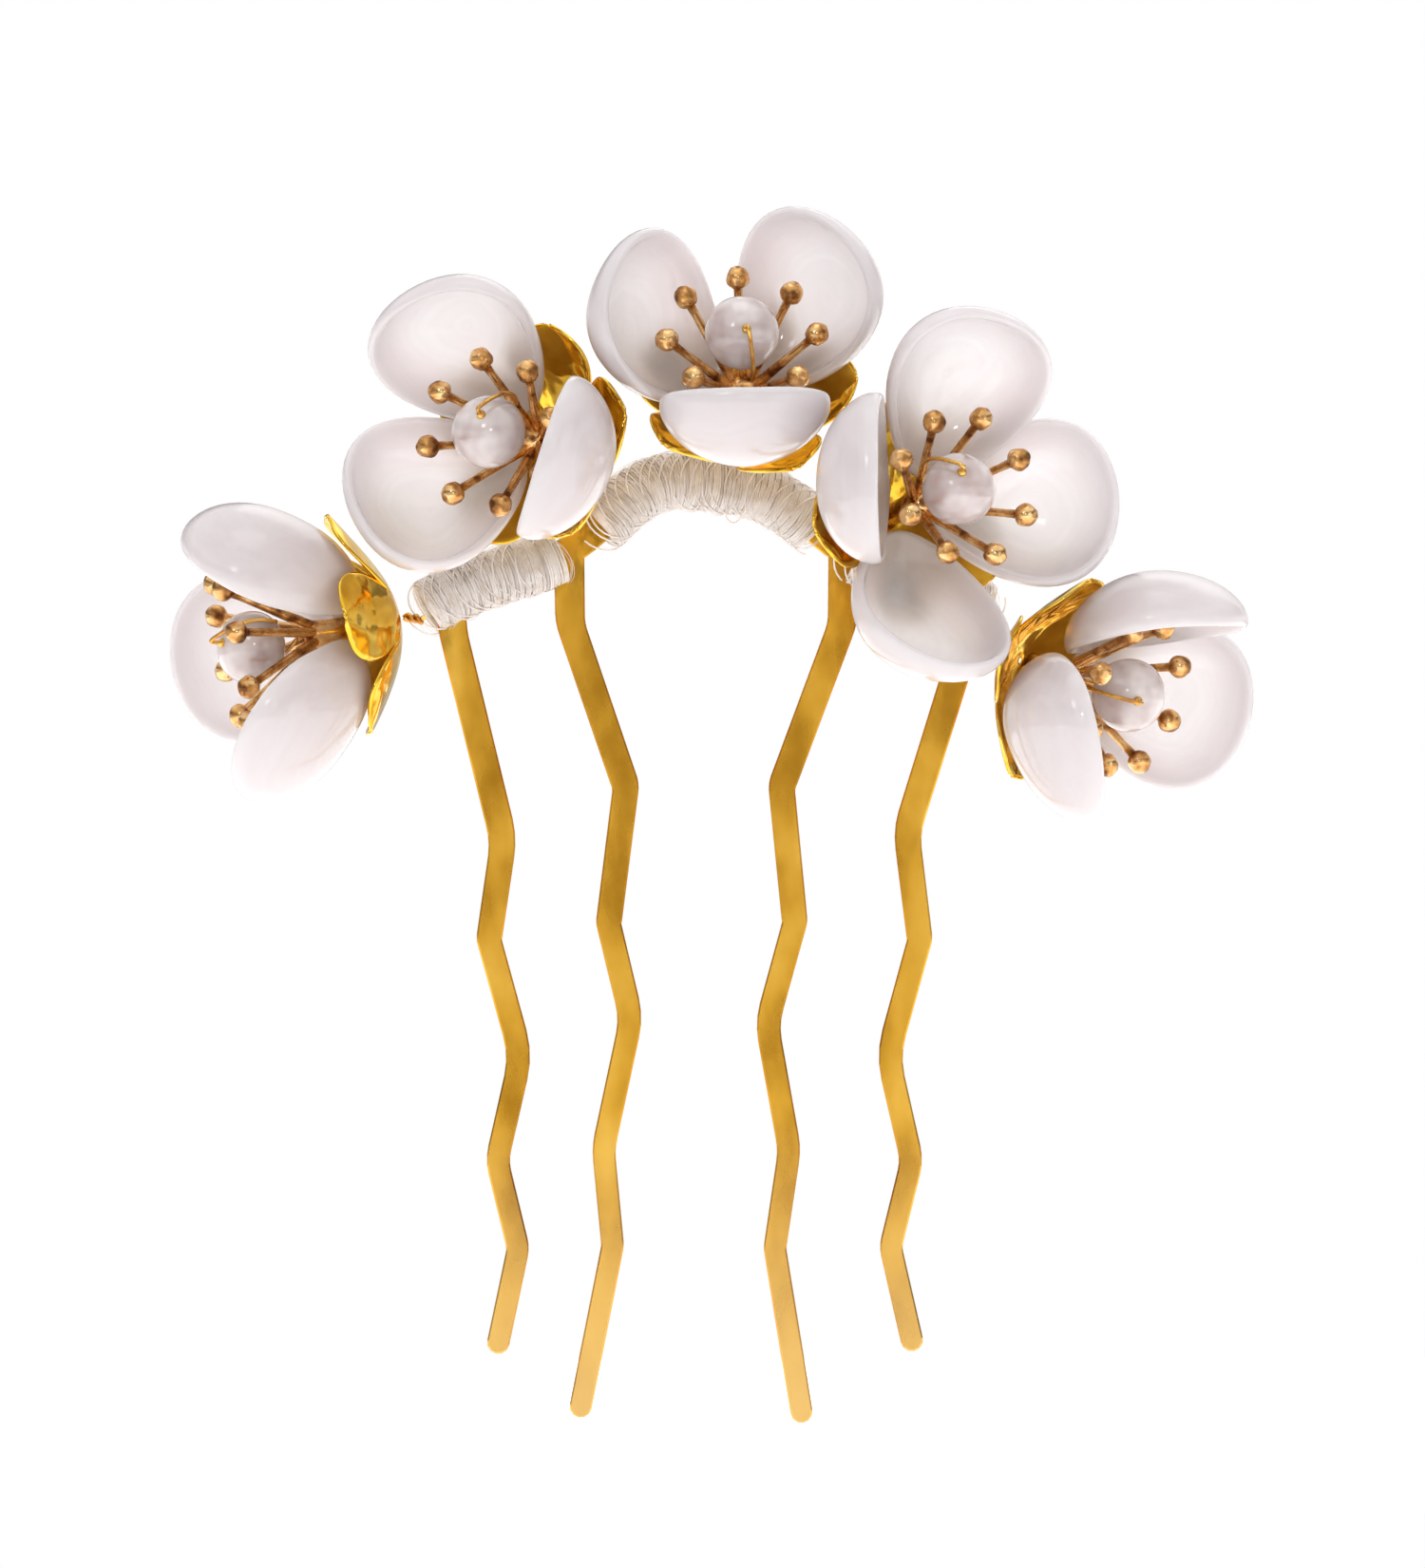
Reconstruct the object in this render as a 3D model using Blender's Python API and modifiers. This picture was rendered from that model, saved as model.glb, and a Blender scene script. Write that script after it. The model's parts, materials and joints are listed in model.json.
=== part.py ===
"""Hair pin with four wavy teeth and five wired blossoms, as separate named pieces.

Run with: blender --background --python part.py
The comb lies in the XZ plane with its teeth down and its blossoms on the -Y side.
The world origin is on the comb's middle plane, between the roots of the inner teeth.
"""

import math
from dataclasses import dataclass

import bmesh
import bpy
from mathutils import Matrix, Vector

MM = 0.001
GAP = 0.3 * MM
WELD = 0.01 * MM
CURVE_WELD = 0.002 * MM

# Comb: a flat stamping with an arched spine and four wavy teeth
COMB_THICKNESS = 1.2 * MM
COMB_EDGE = 0.12 * MM
SPINE_WIDTH = 2.2 * MM
TOOTH_ROOT_WIDTH = 2.3 * MM
TOOTH_TIP_WIDTH = 1.7 * MM
TIP_ARC_STEPS = 6
BEND_STEPS = 3
SPINE_STEPS = 3
PARALLEL = 1e-16

# Thread winding
WRAP_RADIUS = 2.3 * MM
WRAP_POINTS = 9
WRAP_STEPS = 4
WRAP_RESOLUTION = 4

# Blossom
CAP_SHEET = 0.3 * MM
CAP_HOLE_RADIUS = 0.6 * MM
CAP_CUP_RADIUS = 2.2 * MM
CAP_DISH = 0.35 * MM
LOBES = 5
LOBE_LENGTH = 7.5 * MM
LOBE_BEND = 1.3
LOBE_HALF_WIDTH = 3.5 * MM
LOBE_CUP = 0.6 * MM
LOBE_BROADEST = 0.8
LOBE_BLUNTNESS = 0.75
LOBE_WAIST = 0.62
LOBE_TIP_SHARE = 0.12
LOBE_TIP_CURVE = 0.3
LOBE_ROWS = 6
LOBE_COLUMNS = 4

PETAL_LENGTH = 13.9 * MM
PETAL_WIDTH = 11.7 * MM
PETAL_DEPTH = 4.6 * MM
PETAL_SHEET = 0.9 * MM
PETAL_EGG = 0.3
PETAL_WALL = 0.5
PETAL_SEGMENTS = 16
PETAL_RINGS = 3
PETAL_START_RADIUS = 1.8 * MM

STAMENS = 8
STAMEN_LEAN = math.radians(37)
STAMEN_LENGTH = 8.5 * MM
STAMEN_FOOT_RADIUS = 0.45 * MM
STAMEN_NECK_RADIUS = 0.3 * MM
STAMEN_BALL_RADIUS = 0.88 * MM
STAMEN_SIDES = 6
STAMEN_BALL_LATITUDES = (45, 5, -35)
STAMEN_NECK_DEPTH = 0.83 * MM
STAMEN_FOOT_DISTANCE = 0.4 * MM
STAMEN_SINK = 0.9 * MM
HUB_RADIUS = 1.15 * MM
HUB_FOOT_RADIUS = 0.86 * MM
HUB_BOTTOM = 1.0 * MM
HUB_TOP = 4.6 * MM
HUB_FALL = 0.4 * MM
HUB_SHOULDER = 0.2 * MM
HUB_CROWN = 0.3 * MM
HUB_CROWN_RADIUS = 0.69 * MM
HUB_SIDES = 10

PEARL_RADIUS = 2.8 * MM
PEARL_HALF_HEIGHT = 2.55 * MM
PEARL_STEPS = 14
WIRE_RADIUS = 0.22 * MM
WIRE_RESOLUTION = 2
WIRE_STRAIGHT = 0.5 * MM
WIRE_CREST = 0.2 * MM
WIRE_END_ANGLE = math.radians(128)
WIRE_BENDS = 4
DRILL_RADIUS = WIRE_RADIUS + GAP
STEM_RADIUS = 0.4 * MM
STEM_POINTS = 8
STEM_PULL = 0.35
STEM_STANDOFF = 0.85 * MM
ROOT_STEP = 0.02


@dataclass(frozen=True)
class Petal:
    """One petal: its place around the flower axis and how steeply it stands."""

    azimuth: float
    elevation: float
    rise: float = 3.5


@dataclass(frozen=True)
class Blossom:
    """One blossom: lengths in millimetres and angles in degrees."""

    base: tuple
    heading: float
    tilt: float
    lobe_rises: tuple
    petals: tuple
    lobe_turn: float
    stamen_turn: float
    pearl_height: float
    drill_azimuth: float
    drill_lean: float
    root_share: float
    root_turn: float
    stamen_lift: float = 0.0


SPINE_PATH = (
    (-22.5, -1.5), (-20.4, 0.2), (-16.8, 1.9), (-10.9, 3.9), (-7.9, 6.0),
    (-5.4, 8.3), (-2.9, 9.5), (0.4, 9.4), (4.3, 8.7), (7.5, 6.8),
    (9.8, 4.9), (12.5, 3.4), (16.8, 1.9), (20.6, 0.2), (22.7, -1.5),
)

# Each tooth from its root down: (x, z, radius of the bend) along its middle line
TEETH = (
    ((-18.9, 3.0, 0), (-18.9, -1.4, 9), (-15.0, -17.4, 7), (-16.1, -24.9, 1.5),
     (-13.7, -33.6, 7), (-15.5, -41.5, 4), (-13.9, -48.1, 2.5), (-15.4, -55.2, 0)),
    ((-10.1, 6.5, 0), (-10.0, -1.1, 5), (-5.8, -13.4, 2), (-7.1, -23.7, 1.5),
     (-5.4, -30.8, 6), (-7.5, -40.6, 6), (-6.8, -47.9, 2), (-9.2, -60.0, 0)),
    ((10.6, 6.5, 0), (10.5, -1.1, 5), (5.9, -13.4, 2), (6.9, -23.6, 1.5),
     (4.8, -31.2, 6), (6.5, -40.7, 6), (5.4, -48.1, 2), (7.4, -60.4, 0)),
    ((20.5, 3.0, 0), (20.1, -1.4, 9), (15.3, -16.8, 6), (16.3, -24.9, 1.5),
     (13.9, -33.6, 7), (15.7, -41.5, 4), (14.1, -48.0, 2.5), (15.7, -55.0, 0)),
)

# Winding stretches, as shares of the spine's length
WRAPS = {
    "wrap_left": (0.034, 0.262),
    "wrap_centre": (0.318, 0.69),
    "wrap_right": (0.745, 0.966),
}

BLOSSOMS = (
    Blossom(
        base=(-22.9, -2.6, -0.8), heading=191, tilt=82, lobe_rises=(4.6, 3.6, 4.6, 4.8, 3.8),
        petals=(Petal(76, 60, 3.4), Petal(-46, 52, 4.3), Petal(196, 62, 4.1)),
        lobe_turn=18, stamen_turn=25, pearl_height=11.4,
        drill_azimuth=47, drill_lean=30, root_share=0.03, root_turn=100, stamen_lift=2.4,
    ),
    Blossom(
        base=(-10.6, -3.4, 12.4), heading=172, tilt=31, lobe_rises=(4.2, 3.8, 3.8, 2.4, 4.4),
        petals=(Petal(117, 52, 4.3), Petal(213, 47, 3.4), Petal(340, 64)),
        lobe_turn=12, stamen_turn=10, pearl_height=10.7,
        drill_azimuth=60, drill_lean=30, root_share=0.235, root_turn=35,
    ),
    Blossom(
        base=(2.9, -4.6, 13.9), heading=90, tilt=38, lobe_rises=(3.6, 3.8, 3.4, 4.4, 3.8),
        petals=(Petal(44, 57), Petal(158, 55), Petal(272, 60)),
        lobe_turn=10, stamen_turn=3, pearl_height=10.8,
        drill_azimuth=285, drill_lean=32, root_share=0.52, root_turn=40,
    ),
    Blossom(
        base=(13.8, -9.0, 6.9), heading=20, tilt=32, lobe_rises=(1.8, 4.2, 3.4, 0.8, 0.8),
        petals=(
            Petal(79.2, 39.2, 5.4), Petal(0.1, 35.5, 3.3), Petal(264.4, 34.3, 3.0),
            Petal(175.9, 56.2),
        ),
        lobe_turn=50, stamen_turn=-19, pearl_height=10.7,
        drill_azimuth=140, drill_lean=30, root_share=0.78, root_turn=60, stamen_lift=1.0,
    ),
    Blossom(
        base=(23.8, -2.0, -3.9), heading=-18, tilt=57, lobe_rises=(3.4, 5.0, 3.6, 3.6, 3.6),
        petals=(Petal(81.4, 66, 4.7), Petal(200, 56), Petal(345.5, 56.4, 3.3)),
        lobe_turn=20, stamen_turn=18, pearl_height=10.2,
        drill_azimuth=170, drill_lean=40, root_share=0.97, root_turn=130, stamen_lift=0.4,
    ),
)


# ---------------------------------------------------------------- small tools

def clear_scene():
    """Remove every object that the file opens with."""
    for old in list(bpy.data.objects):
        bpy.data.objects.remove(old)


def new_collection(name):
    """Make a collection under the scene's own."""
    made = bpy.data.collections.new(name)
    bpy.context.scene.collection.children.link(made)
    return made


def new_material(name, colour, roughness, metallic, alpha=1.0):
    """Make a Principled material from an RGB colour."""
    made = bpy.data.materials.new(name)
    made.use_nodes = True
    made.diffuse_color = (*colour, alpha)
    shader = made.node_tree.nodes["Principled BSDF"]
    shader.inputs["Base Color"].default_value = (*colour, 1)
    shader.inputs["Roughness"].default_value = roughness
    shader.inputs["Metallic"].default_value = metallic
    shader.inputs["Alpha"].default_value = alpha
    return made


def add_mesh(name, mesh, collection, material):
    """Put a mesh in a new object."""
    made = bpy.data.objects.new(name, mesh)
    collection.objects.link(made)
    mesh.materials.clear()
    mesh.materials.append(material)
    return made


def mesh_from_curve(name, curve):
    """Turn curve data into a closed, welded mesh."""
    holder = bpy.data.objects.new(name, curve)
    bpy.context.scene.collection.objects.link(holder)
    graph = bpy.context.evaluated_depsgraph_get()
    mesh = bpy.data.meshes.new_from_object(holder.evaluated_get(graph))
    bpy.data.objects.remove(holder)
    work = bmesh.new()
    work.from_mesh(mesh)
    bmesh.ops.remove_doubles(work, verts=work.verts, dist=CURVE_WELD)
    bmesh.ops.recalc_face_normals(work, faces=work.faces)
    work.to_mesh(mesh)
    work.free()
    mesh.name = name
    return mesh


def flat_plate(name, outline, thickness, edge=0.0):
    """Fill an (x, z) outline and give it a thickness along Y."""
    curve = bpy.data.curves.new(name, "CURVE")
    curve.dimensions = "2D"
    curve.fill_mode = "BOTH"
    curve.extrude = thickness / 2 - edge
    curve.bevel_depth = edge
    curve.bevel_resolution = 0
    curve.offset = -edge
    spline = curve.splines.new("POLY")
    spline.points.add(len(outline) - 1)
    for point, (x, z) in zip(spline.points, outline):
        point.co = (x, z, 0, 1)
    spline.use_cyclic_u = True
    mesh = mesh_from_curve(name, curve)
    mesh.transform(Matrix.Rotation(math.radians(90), 4, "X"))
    return mesh


def tube(name, points, radius, resolution=WIRE_RESOLUTION):
    """Sweep a round section along a list of points."""
    curve = bpy.data.curves.new(name, "CURVE")
    curve.dimensions = "3D"
    curve.bevel_depth = radius
    curve.bevel_resolution = resolution
    curve.use_fill_caps = True
    spline = curve.splines.new("POLY")
    spline.points.add(len(points) - 1)
    for point, place in zip(spline.points, points):
        point.co = (*place, 1)
    return mesh_from_curve(name, curve)


def turned(name, profile, steps, closed=False):
    """Turn an (r, z) profile about Z with a Screw modifier."""
    mesh = bpy.data.meshes.new(name)
    count = len(profile)
    edges = [(i, i + 1) for i in range(count - 1)]
    if closed:
        edges.append((count - 1, 0))
    mesh.from_pydata([(r, 0, z) for r, z in profile], edges, [])
    holder = bpy.data.objects.new(name, mesh)
    bpy.context.scene.collection.objects.link(holder)
    screw = holder.modifiers.new("turn", "SCREW")
    screw.steps = steps
    screw.render_steps = steps
    screw.use_merge_vertices = True
    screw.merge_threshold = WELD
    made = baked(holder)
    bpy.data.objects.remove(holder)
    return made


def baked(holder):
    """Return the mesh that an object's modifiers give."""
    graph = bpy.context.evaluated_depsgraph_get()
    return bpy.data.meshes.new_from_object(holder.evaluated_get(graph))


def smooth_path(points, per_stretch):
    """Read a Catmull-Rom curve through the points."""
    places = [Vector(point) for point in points]
    ends = [2 * places[0] - places[1]] + places + [2 * places[-1] - places[-2]]
    path = []
    for i in range(1, len(ends) - 2):
        before, start, stop, after = ends[i - 1:i + 3]
        for step in range(per_stretch):
            t = step / per_stretch
            path.append(0.5 * (
                2 * start + (stop - before) * t
                + (2 * before - 5 * start + 4 * stop - after) * t ** 2
                + (3 * start - before - 3 * stop + after) * t ** 3
            ))
    path.append(places[-1])
    return path


def stretch_of(path, first, last, count):
    """Read evenly spaced points from a share of a path's length."""
    lengths = [0.0]
    for start, stop in zip(path, path[1:]):
        lengths.append(lengths[-1] + (stop - start).length)
    places = []
    for k in range(count):
        wanted = lengths[-1] * (first + (last - first) * k / (count - 1))
        i = max(j for j in range(len(path) - 1) if lengths[j] <= wanted)
        share = (wanted - lengths[i]) / (lengths[i + 1] - lengths[i])
        places.append(path[i].lerp(path[i + 1], min(share, 1.0)))
    return places


# ---------------------------------------------------------------- comb

def rounded_line(bends):
    """Turn (x, z, radius) bends in millimetres into a line with arcs at its corners."""
    places = [Vector(bend[:2]) * MM for bend in bends]
    line = [places[0]]
    for i in range(1, len(places) - 1):
        back = (places[i - 1] - places[i]).normalized()
        ahead = (places[i + 1] - places[i]).normalized()
        half_turn = (math.pi - back.angle(ahead)) / 2
        reach = bends[i][2] * MM * math.tan(half_turn)
        start = places[i] + back * reach
        stop = places[i] + ahead * reach
        for step in range(BEND_STEPS + 1):
            t = step / BEND_STEPS
            line.append((1 - t) ** 2 * start + 2 * t * (1 - t) * places[i] + t ** 2 * stop)
    line.append(places[-1])
    return line


def offset_line(line, distances):
    """Shift each point of a line to its left by its own distance."""
    shifted = []
    for i, place in enumerate(line):
        ahead = line[min(i + 1, len(line) - 1)] - place
        behind = place - line[max(i - 1, 0)]
        along = (ahead.normalized() + behind.normalized()).normalized()
        shifted.append(place + Vector((-along.y, along.x)) * distances[i])
    return shifted


def around_tooth(bends, extra):
    """Trace a tooth from its right side's root, round its tip, to its left side's root."""
    line = rounded_line(bends)
    last = len(line) - 1
    halves = []
    for i in range(last + 1):
        taper = (1 - i / last) ** 2
        width = TOOTH_TIP_WIDTH + (TOOTH_ROOT_WIDTH - TOOTH_TIP_WIDTH) * taper
        halves.append(width / 2 + extra)
    right = offset_line(line, halves)
    left = offset_line(line, [-half for half in halves])
    down = (line[-1] - line[-2]).normalized()
    side = Vector((-down.y, down.x))
    tip = []
    for step in range(1, TIP_ARC_STEPS):
        turn = math.pi * step / TIP_ARC_STEPS
        tip.append(line[-1] + halves[-1] * (math.cos(turn) * side + math.sin(turn) * down))
    return right + tip + left[::-1]


def crossings(first, second):
    """List where two lines cross, as (index on first, index on second, point)."""
    found = []
    for i, (a, b) in enumerate(zip(first, first[1:])):
        for j, (c, d) in enumerate(zip(second, second[1:])):
            along = b - a
            across = d - c
            turn = along.x * across.y - along.y * across.x
            if abs(turn) < PARALLEL:
                continue
            apart = c - a
            s = (apart.x * across.y - apart.y * across.x) / turn
            t = (apart.x * along.y - apart.y * along.x) / turn
            if 0 <= s <= 1 and 0 <= t <= 1:
                found.append((i, j, a + along * s))
    return found


def comb_outline(extra=0.0):
    """Chain the spine's two edges and the four teeth into one outline."""
    spine = smooth_path([Vector(point) * MM for point in SPINE_PATH], SPINE_STEPS)
    half = SPINE_WIDTH / 2 + extra
    top = offset_line(spine, [half] * len(spine))
    under = offset_line(spine, [-half] * len(spine))[::-1]
    teeth = [around_tooth(bends, extra) for bends in reversed(TEETH)]
    chain = [top, teeth[0], under, teeth[1], under, teeth[2], under, teeth[3]]
    corners = {}
    starts = {}
    stops = {}
    for k, line in enumerate(chain):
        following = (k + 1) % len(chain)
        hits = crossings(line, chain[following])
        if k % 2 == 0:
            stop, start, corner = min(hits, key=lambda hit: hit[1])
        else:
            stop, start, corner = max(hits, key=lambda hit: hit[0])
        stops[k] = stop
        starts[following] = start
        corners[following] = corner
    outline = []
    for k, line in enumerate(chain):
        outline.append(corners[k])
        outline += line[starts[k] + 1:stops[k] + 1]
    return outline


def make_comb(collection, material):
    """Make the stamped comb."""
    mesh = flat_plate("comb", comb_outline(), COMB_THICKNESS, COMB_EDGE)
    return add_mesh("comb", mesh, collection, material)


# ---------------------------------------------------------------- thread winding

def make_wraps(collection, cutters, material):
    """Make the thread sleeves and hollow them round the comb with a wire-shown cutter."""
    plate = flat_plate("comb_channel", comb_outline(GAP), COMB_THICKNESS + 2 * GAP)
    channel = bpy.data.objects.new("comb_channel", plate)
    cutters.objects.link(channel)
    channel.hide_render = True
    channel.display_type = "WIRE"
    spine = smooth_path([Vector((x, 0, z)) * MM for x, z in SPINE_PATH], WRAP_STEPS)
    for name, (first, last) in WRAPS.items():
        places = stretch_of(spine, first, last, WRAP_POINTS)
        sleeve = add_mesh(name, tube(name, places, WRAP_RADIUS, WRAP_RESOLUTION), collection, material)
        cut = sleeve.modifiers.new("channel", "BOOLEAN")
        cut.operation = "DIFFERENCE"
        cut.solver = "EXACT"
        cut.object = channel


# ---------------------------------------------------------------- blossom pieces

def cap_mesh(rises):
    """Form the cap: a dished ring with five spoon lobes, each with its own rise in mm."""
    work = bmesh.new()
    sector = 2 * math.pi / LOBES
    for lobe, rise in enumerate(rises):
        middle = lobe * sector
        rows = []
        for radius in (CAP_HOLE_RADIUS, CAP_CUP_RADIUS):
            row = []
            for column in range(LOBE_COLUMNS + 1):
                angle = middle + sector * (column / LOBE_COLUMNS - 0.5)
                height = CAP_DISH * (radius / CAP_CUP_RADIUS) ** 2
                place = (radius * math.cos(angle), radius * math.sin(angle), height)
                row.append(work.verts.new(place))
            rows.append(row)
        for step in range(1, LOBE_ROWS + 1):
            rows.append(lobe_row(work, middle, step / LOBE_ROWS, rise * MM))
        for inner, outer in zip(rows, rows[1:]):
            for column in range(LOBE_COLUMNS):
                corners = (inner[column], outer[column], outer[column + 1], inner[column + 1])
                work.faces.new(corners)
    bmesh.ops.remove_doubles(work, verts=work.verts, dist=WELD)
    bmesh.ops.recalc_face_normals(work, faces=work.faces)
    mesh = bpy.data.meshes.new("cap")
    work.to_mesh(mesh)
    work.free()
    return thickened(mesh, CAP_SHEET)


def lobe_row(work, middle, share, rise):
    """Add one row of points across a lobe, at a share of the way to its tip."""
    run = math.sqrt(LOBE_LENGTH ** 2 - rise ** 2)
    outward = math.sin(share * math.pi / 2)
    radius = CAP_CUP_RADIUS + run * outward
    swell = 0.0
    if share < 1:
        swell = math.sin(math.pi * share ** LOBE_BROADEST) ** LOBE_BLUNTNESS
    neck = CAP_CUP_RADIUS * math.sin(math.pi / LOBES) * (1 - share)
    half = neck + LOBE_HALF_WIDTH * swell * (LOBE_WAIST + (1 - LOBE_WAIST) * share)
    half = max(half, LOBE_TIP_SHARE * LOBE_HALF_WIDTH)
    row = []
    for column in range(LOBE_COLUMNS + 1):
        across = 2 * column / LOBE_COLUMNS - 1
        height = CAP_DISH + rise * outward ** LOBE_BEND + LOBE_CUP * swell * across ** 2
        drawn_back = LOBE_TIP_CURVE * half * across ** 2 * share
        place = Vector((radius - drawn_back, half * across, height))
        place.rotate(Matrix.Rotation(middle, 3, "Z"))
        row.append(work.verts.new(place))
    return row


def thickened(mesh, thickness):
    """Give an open sheet a thickness, half on each side, with Solidify."""
    holder = bpy.data.objects.new(mesh.name, mesh)
    bpy.context.scene.collection.objects.link(holder)
    shell = holder.modifiers.new("sheet", "SOLIDIFY")
    shell.thickness = thickness
    shell.offset = 0.0
    shell.use_even_offset = True
    made = baked(holder)
    bpy.data.objects.remove(holder)
    return made


def petal_mesh():
    """Form a petal: an egg-shaped bowl, its narrow end at the origin and its hollow up."""
    work = bmesh.new()
    middle = PETAL_LENGTH / 2
    bottom = work.verts.new((middle, 0, -PETAL_DEPTH))
    rings = []
    for ring in range(1, PETAL_RINGS + 1):
        share = math.sin(math.pi / 2 * ring / PETAL_RINGS)
        height = -PETAL_DEPTH * max(1 - share ** 2, 0.0) ** PETAL_WALL
        points = []
        for segment in range(PETAL_SEGMENTS):
            turn = 2 * math.pi * segment / PETAL_SEGMENTS
            x = middle + middle * share * math.cos(turn)
            y = PETAL_WIDTH / 2 * share * math.sin(turn) * (1 + PETAL_EGG * math.cos(turn))
            points.append(work.verts.new((x, y, height)))
        rings.append(points)
    for segment in range(PETAL_SEGMENTS):
        beside = (segment + 1) % PETAL_SEGMENTS
        work.faces.new((bottom, rings[0][segment], rings[0][beside]))
        for inner, outer in zip(rings, rings[1:]):
            work.faces.new((inner[segment], outer[segment], outer[beside], inner[beside]))
    bmesh.ops.recalc_face_normals(work, faces=work.faces)
    mesh = bpy.data.meshes.new("petal")
    work.to_mesh(mesh)
    work.free()
    return thickened(mesh, PETAL_SHEET)


def stamen_mesh():
    """Turn one stamen, a tapered arm with a ball, along Z."""
    profile = [(0, STAMEN_LENGTH + STAMEN_BALL_RADIUS)]
    for latitude in STAMEN_BALL_LATITUDES:
        angle = math.radians(latitude)
        height = STAMEN_LENGTH + STAMEN_BALL_RADIUS * math.sin(angle)
        profile.append((STAMEN_BALL_RADIUS * math.cos(angle), height))
    profile.append((STAMEN_NECK_RADIUS, STAMEN_LENGTH - STAMEN_NECK_DEPTH))
    profile += [(STAMEN_FOOT_RADIUS, 0), (0, 0)]
    return turned("stamen", profile, STAMEN_SIDES)


def stamens_mesh(lift):
    """Unite the hub and its eight stamens in one casting, lifted above its usual height."""
    top = HUB_TOP + lift
    hub_profile = [
        (0, top + HUB_CROWN),
        (HUB_CROWN_RADIUS, top + HUB_SHOULDER),
        (HUB_RADIUS, top - HUB_FALL),
        (HUB_FOOT_RADIUS, HUB_BOTTOM),
        (0, HUB_BOTTOM),
    ]
    hub = bpy.data.objects.new("hub", turned("hub", hub_profile, HUB_SIDES))
    bpy.context.scene.collection.objects.link(hub)
    arm = stamen_mesh()
    arms = []
    foot = Matrix.Translation((STAMEN_FOOT_DISTANCE, 0, top - STAMEN_SINK))
    lean = Matrix.Rotation(STAMEN_LEAN, 4, "Y")
    for k in range(STAMENS):
        around = Matrix.Rotation(2 * math.pi * k / STAMENS, 4, "Z")
        mesh = arm.copy()
        mesh.transform(around @ foot @ lean)
        piece = bpy.data.objects.new(f"arm_{k}", mesh)
        bpy.context.scene.collection.objects.link(piece)
        union = hub.modifiers.new(f"arm_{k}", "BOOLEAN")
        union.operation = "UNION"
        union.solver = "EXACT"
        union.object = piece
        arms.append(piece)
    made = baked(hub)
    for piece in arms + [hub]:
        bpy.data.objects.remove(piece)
    return made


def pearl_mesh():
    """Turn a slightly flattened pearl with its drilled hole along Z."""
    start = math.acos(DRILL_RADIUS / PEARL_RADIUS)
    profile = []
    for k in range(PEARL_STEPS // 2 + 1):
        angle = start - 2 * start * k / (PEARL_STEPS // 2)
        profile.append((PEARL_RADIUS * math.cos(angle), PEARL_HALF_HEIGHT * math.sin(angle)))
    return turned("pearl", profile, PEARL_STEPS, closed=True)


def wire_points(blossom, drill):
    """Route the pearl's wire: up from the hub, through the pearl and back down beside it."""
    upward = Vector((0, 0, 1))
    pearl = upward * blossom.pearl_height * MM
    hub = HUB_TOP + blossom.stamen_lift * MM + HUB_CROWN
    clear = PEARL_RADIUS + WIRE_RADIUS + 2 * GAP
    route = [
        upward * (hub + GAP + WIRE_RADIUS),
        pearl - drill * (PEARL_HALF_HEIGHT + WIRE_STRAIGHT),
        pearl - drill * PEARL_HALF_HEIGHT,
        pearl,
        pearl + drill * PEARL_HALF_HEIGHT,
        pearl + drill * (clear + WIRE_CREST),
    ]
    outward = (drill - upward * drill.z).normalized()
    lean = math.acos(drill.z)
    for k in range(1, WIRE_BENDS + 1):
        turn = lean + (WIRE_END_ANGLE - lean) * k / WIRE_BENDS
        away = outward * math.sin(turn) + upward * math.cos(turn)
        route.append(pearl + away * clear)
    return route


# ---------------------------------------------------------------- blossoms

def flower_frame(blossom):
    """Return the matrix that sets a blossom's own axes in the world."""
    heading = math.radians(blossom.heading)
    tilt = math.radians(blossom.tilt)
    axis = Vector((
        math.sin(tilt) * math.cos(heading), -math.cos(tilt),
        math.sin(tilt) * math.sin(heading),
    ))
    facing = Matrix.Rotation(math.radians(90), 4, "X")
    lean = Vector((0, -1, 0)).rotation_difference(axis).to_matrix().to_4x4()
    return Matrix.Translation(Vector(blossom.base) * MM) @ lean @ facing


def petal_frame(petal):
    """Return the matrix that sets a petal in its blossom."""
    azimuth = Matrix.Rotation(math.radians(petal.azimuth), 4, "Z")
    stand = Matrix.Rotation(-math.radians(petal.elevation), 4, "Y")
    start = Matrix.Translation((PETAL_START_RADIUS, 0, petal.rise * MM))
    return azimuth @ start @ stand


def direction(azimuth, lean):
    """Return a unit direction leaning from Z towards an azimuth."""
    turn = math.radians(azimuth)
    slope = math.radians(lean)
    return Vector((
        math.sin(slope) * math.cos(turn), math.sin(slope) * math.sin(turn), math.cos(slope),
    ))


def seat(piece, pivot, place):
    """Parent a piece to its blossom's pivot so that it stands at a world matrix."""
    piece.parent = pivot
    piece.matrix_parent_inverse = Matrix.Identity(4)
    piece.matrix_basis = Matrix.Translation(-pivot.location) @ place


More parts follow.
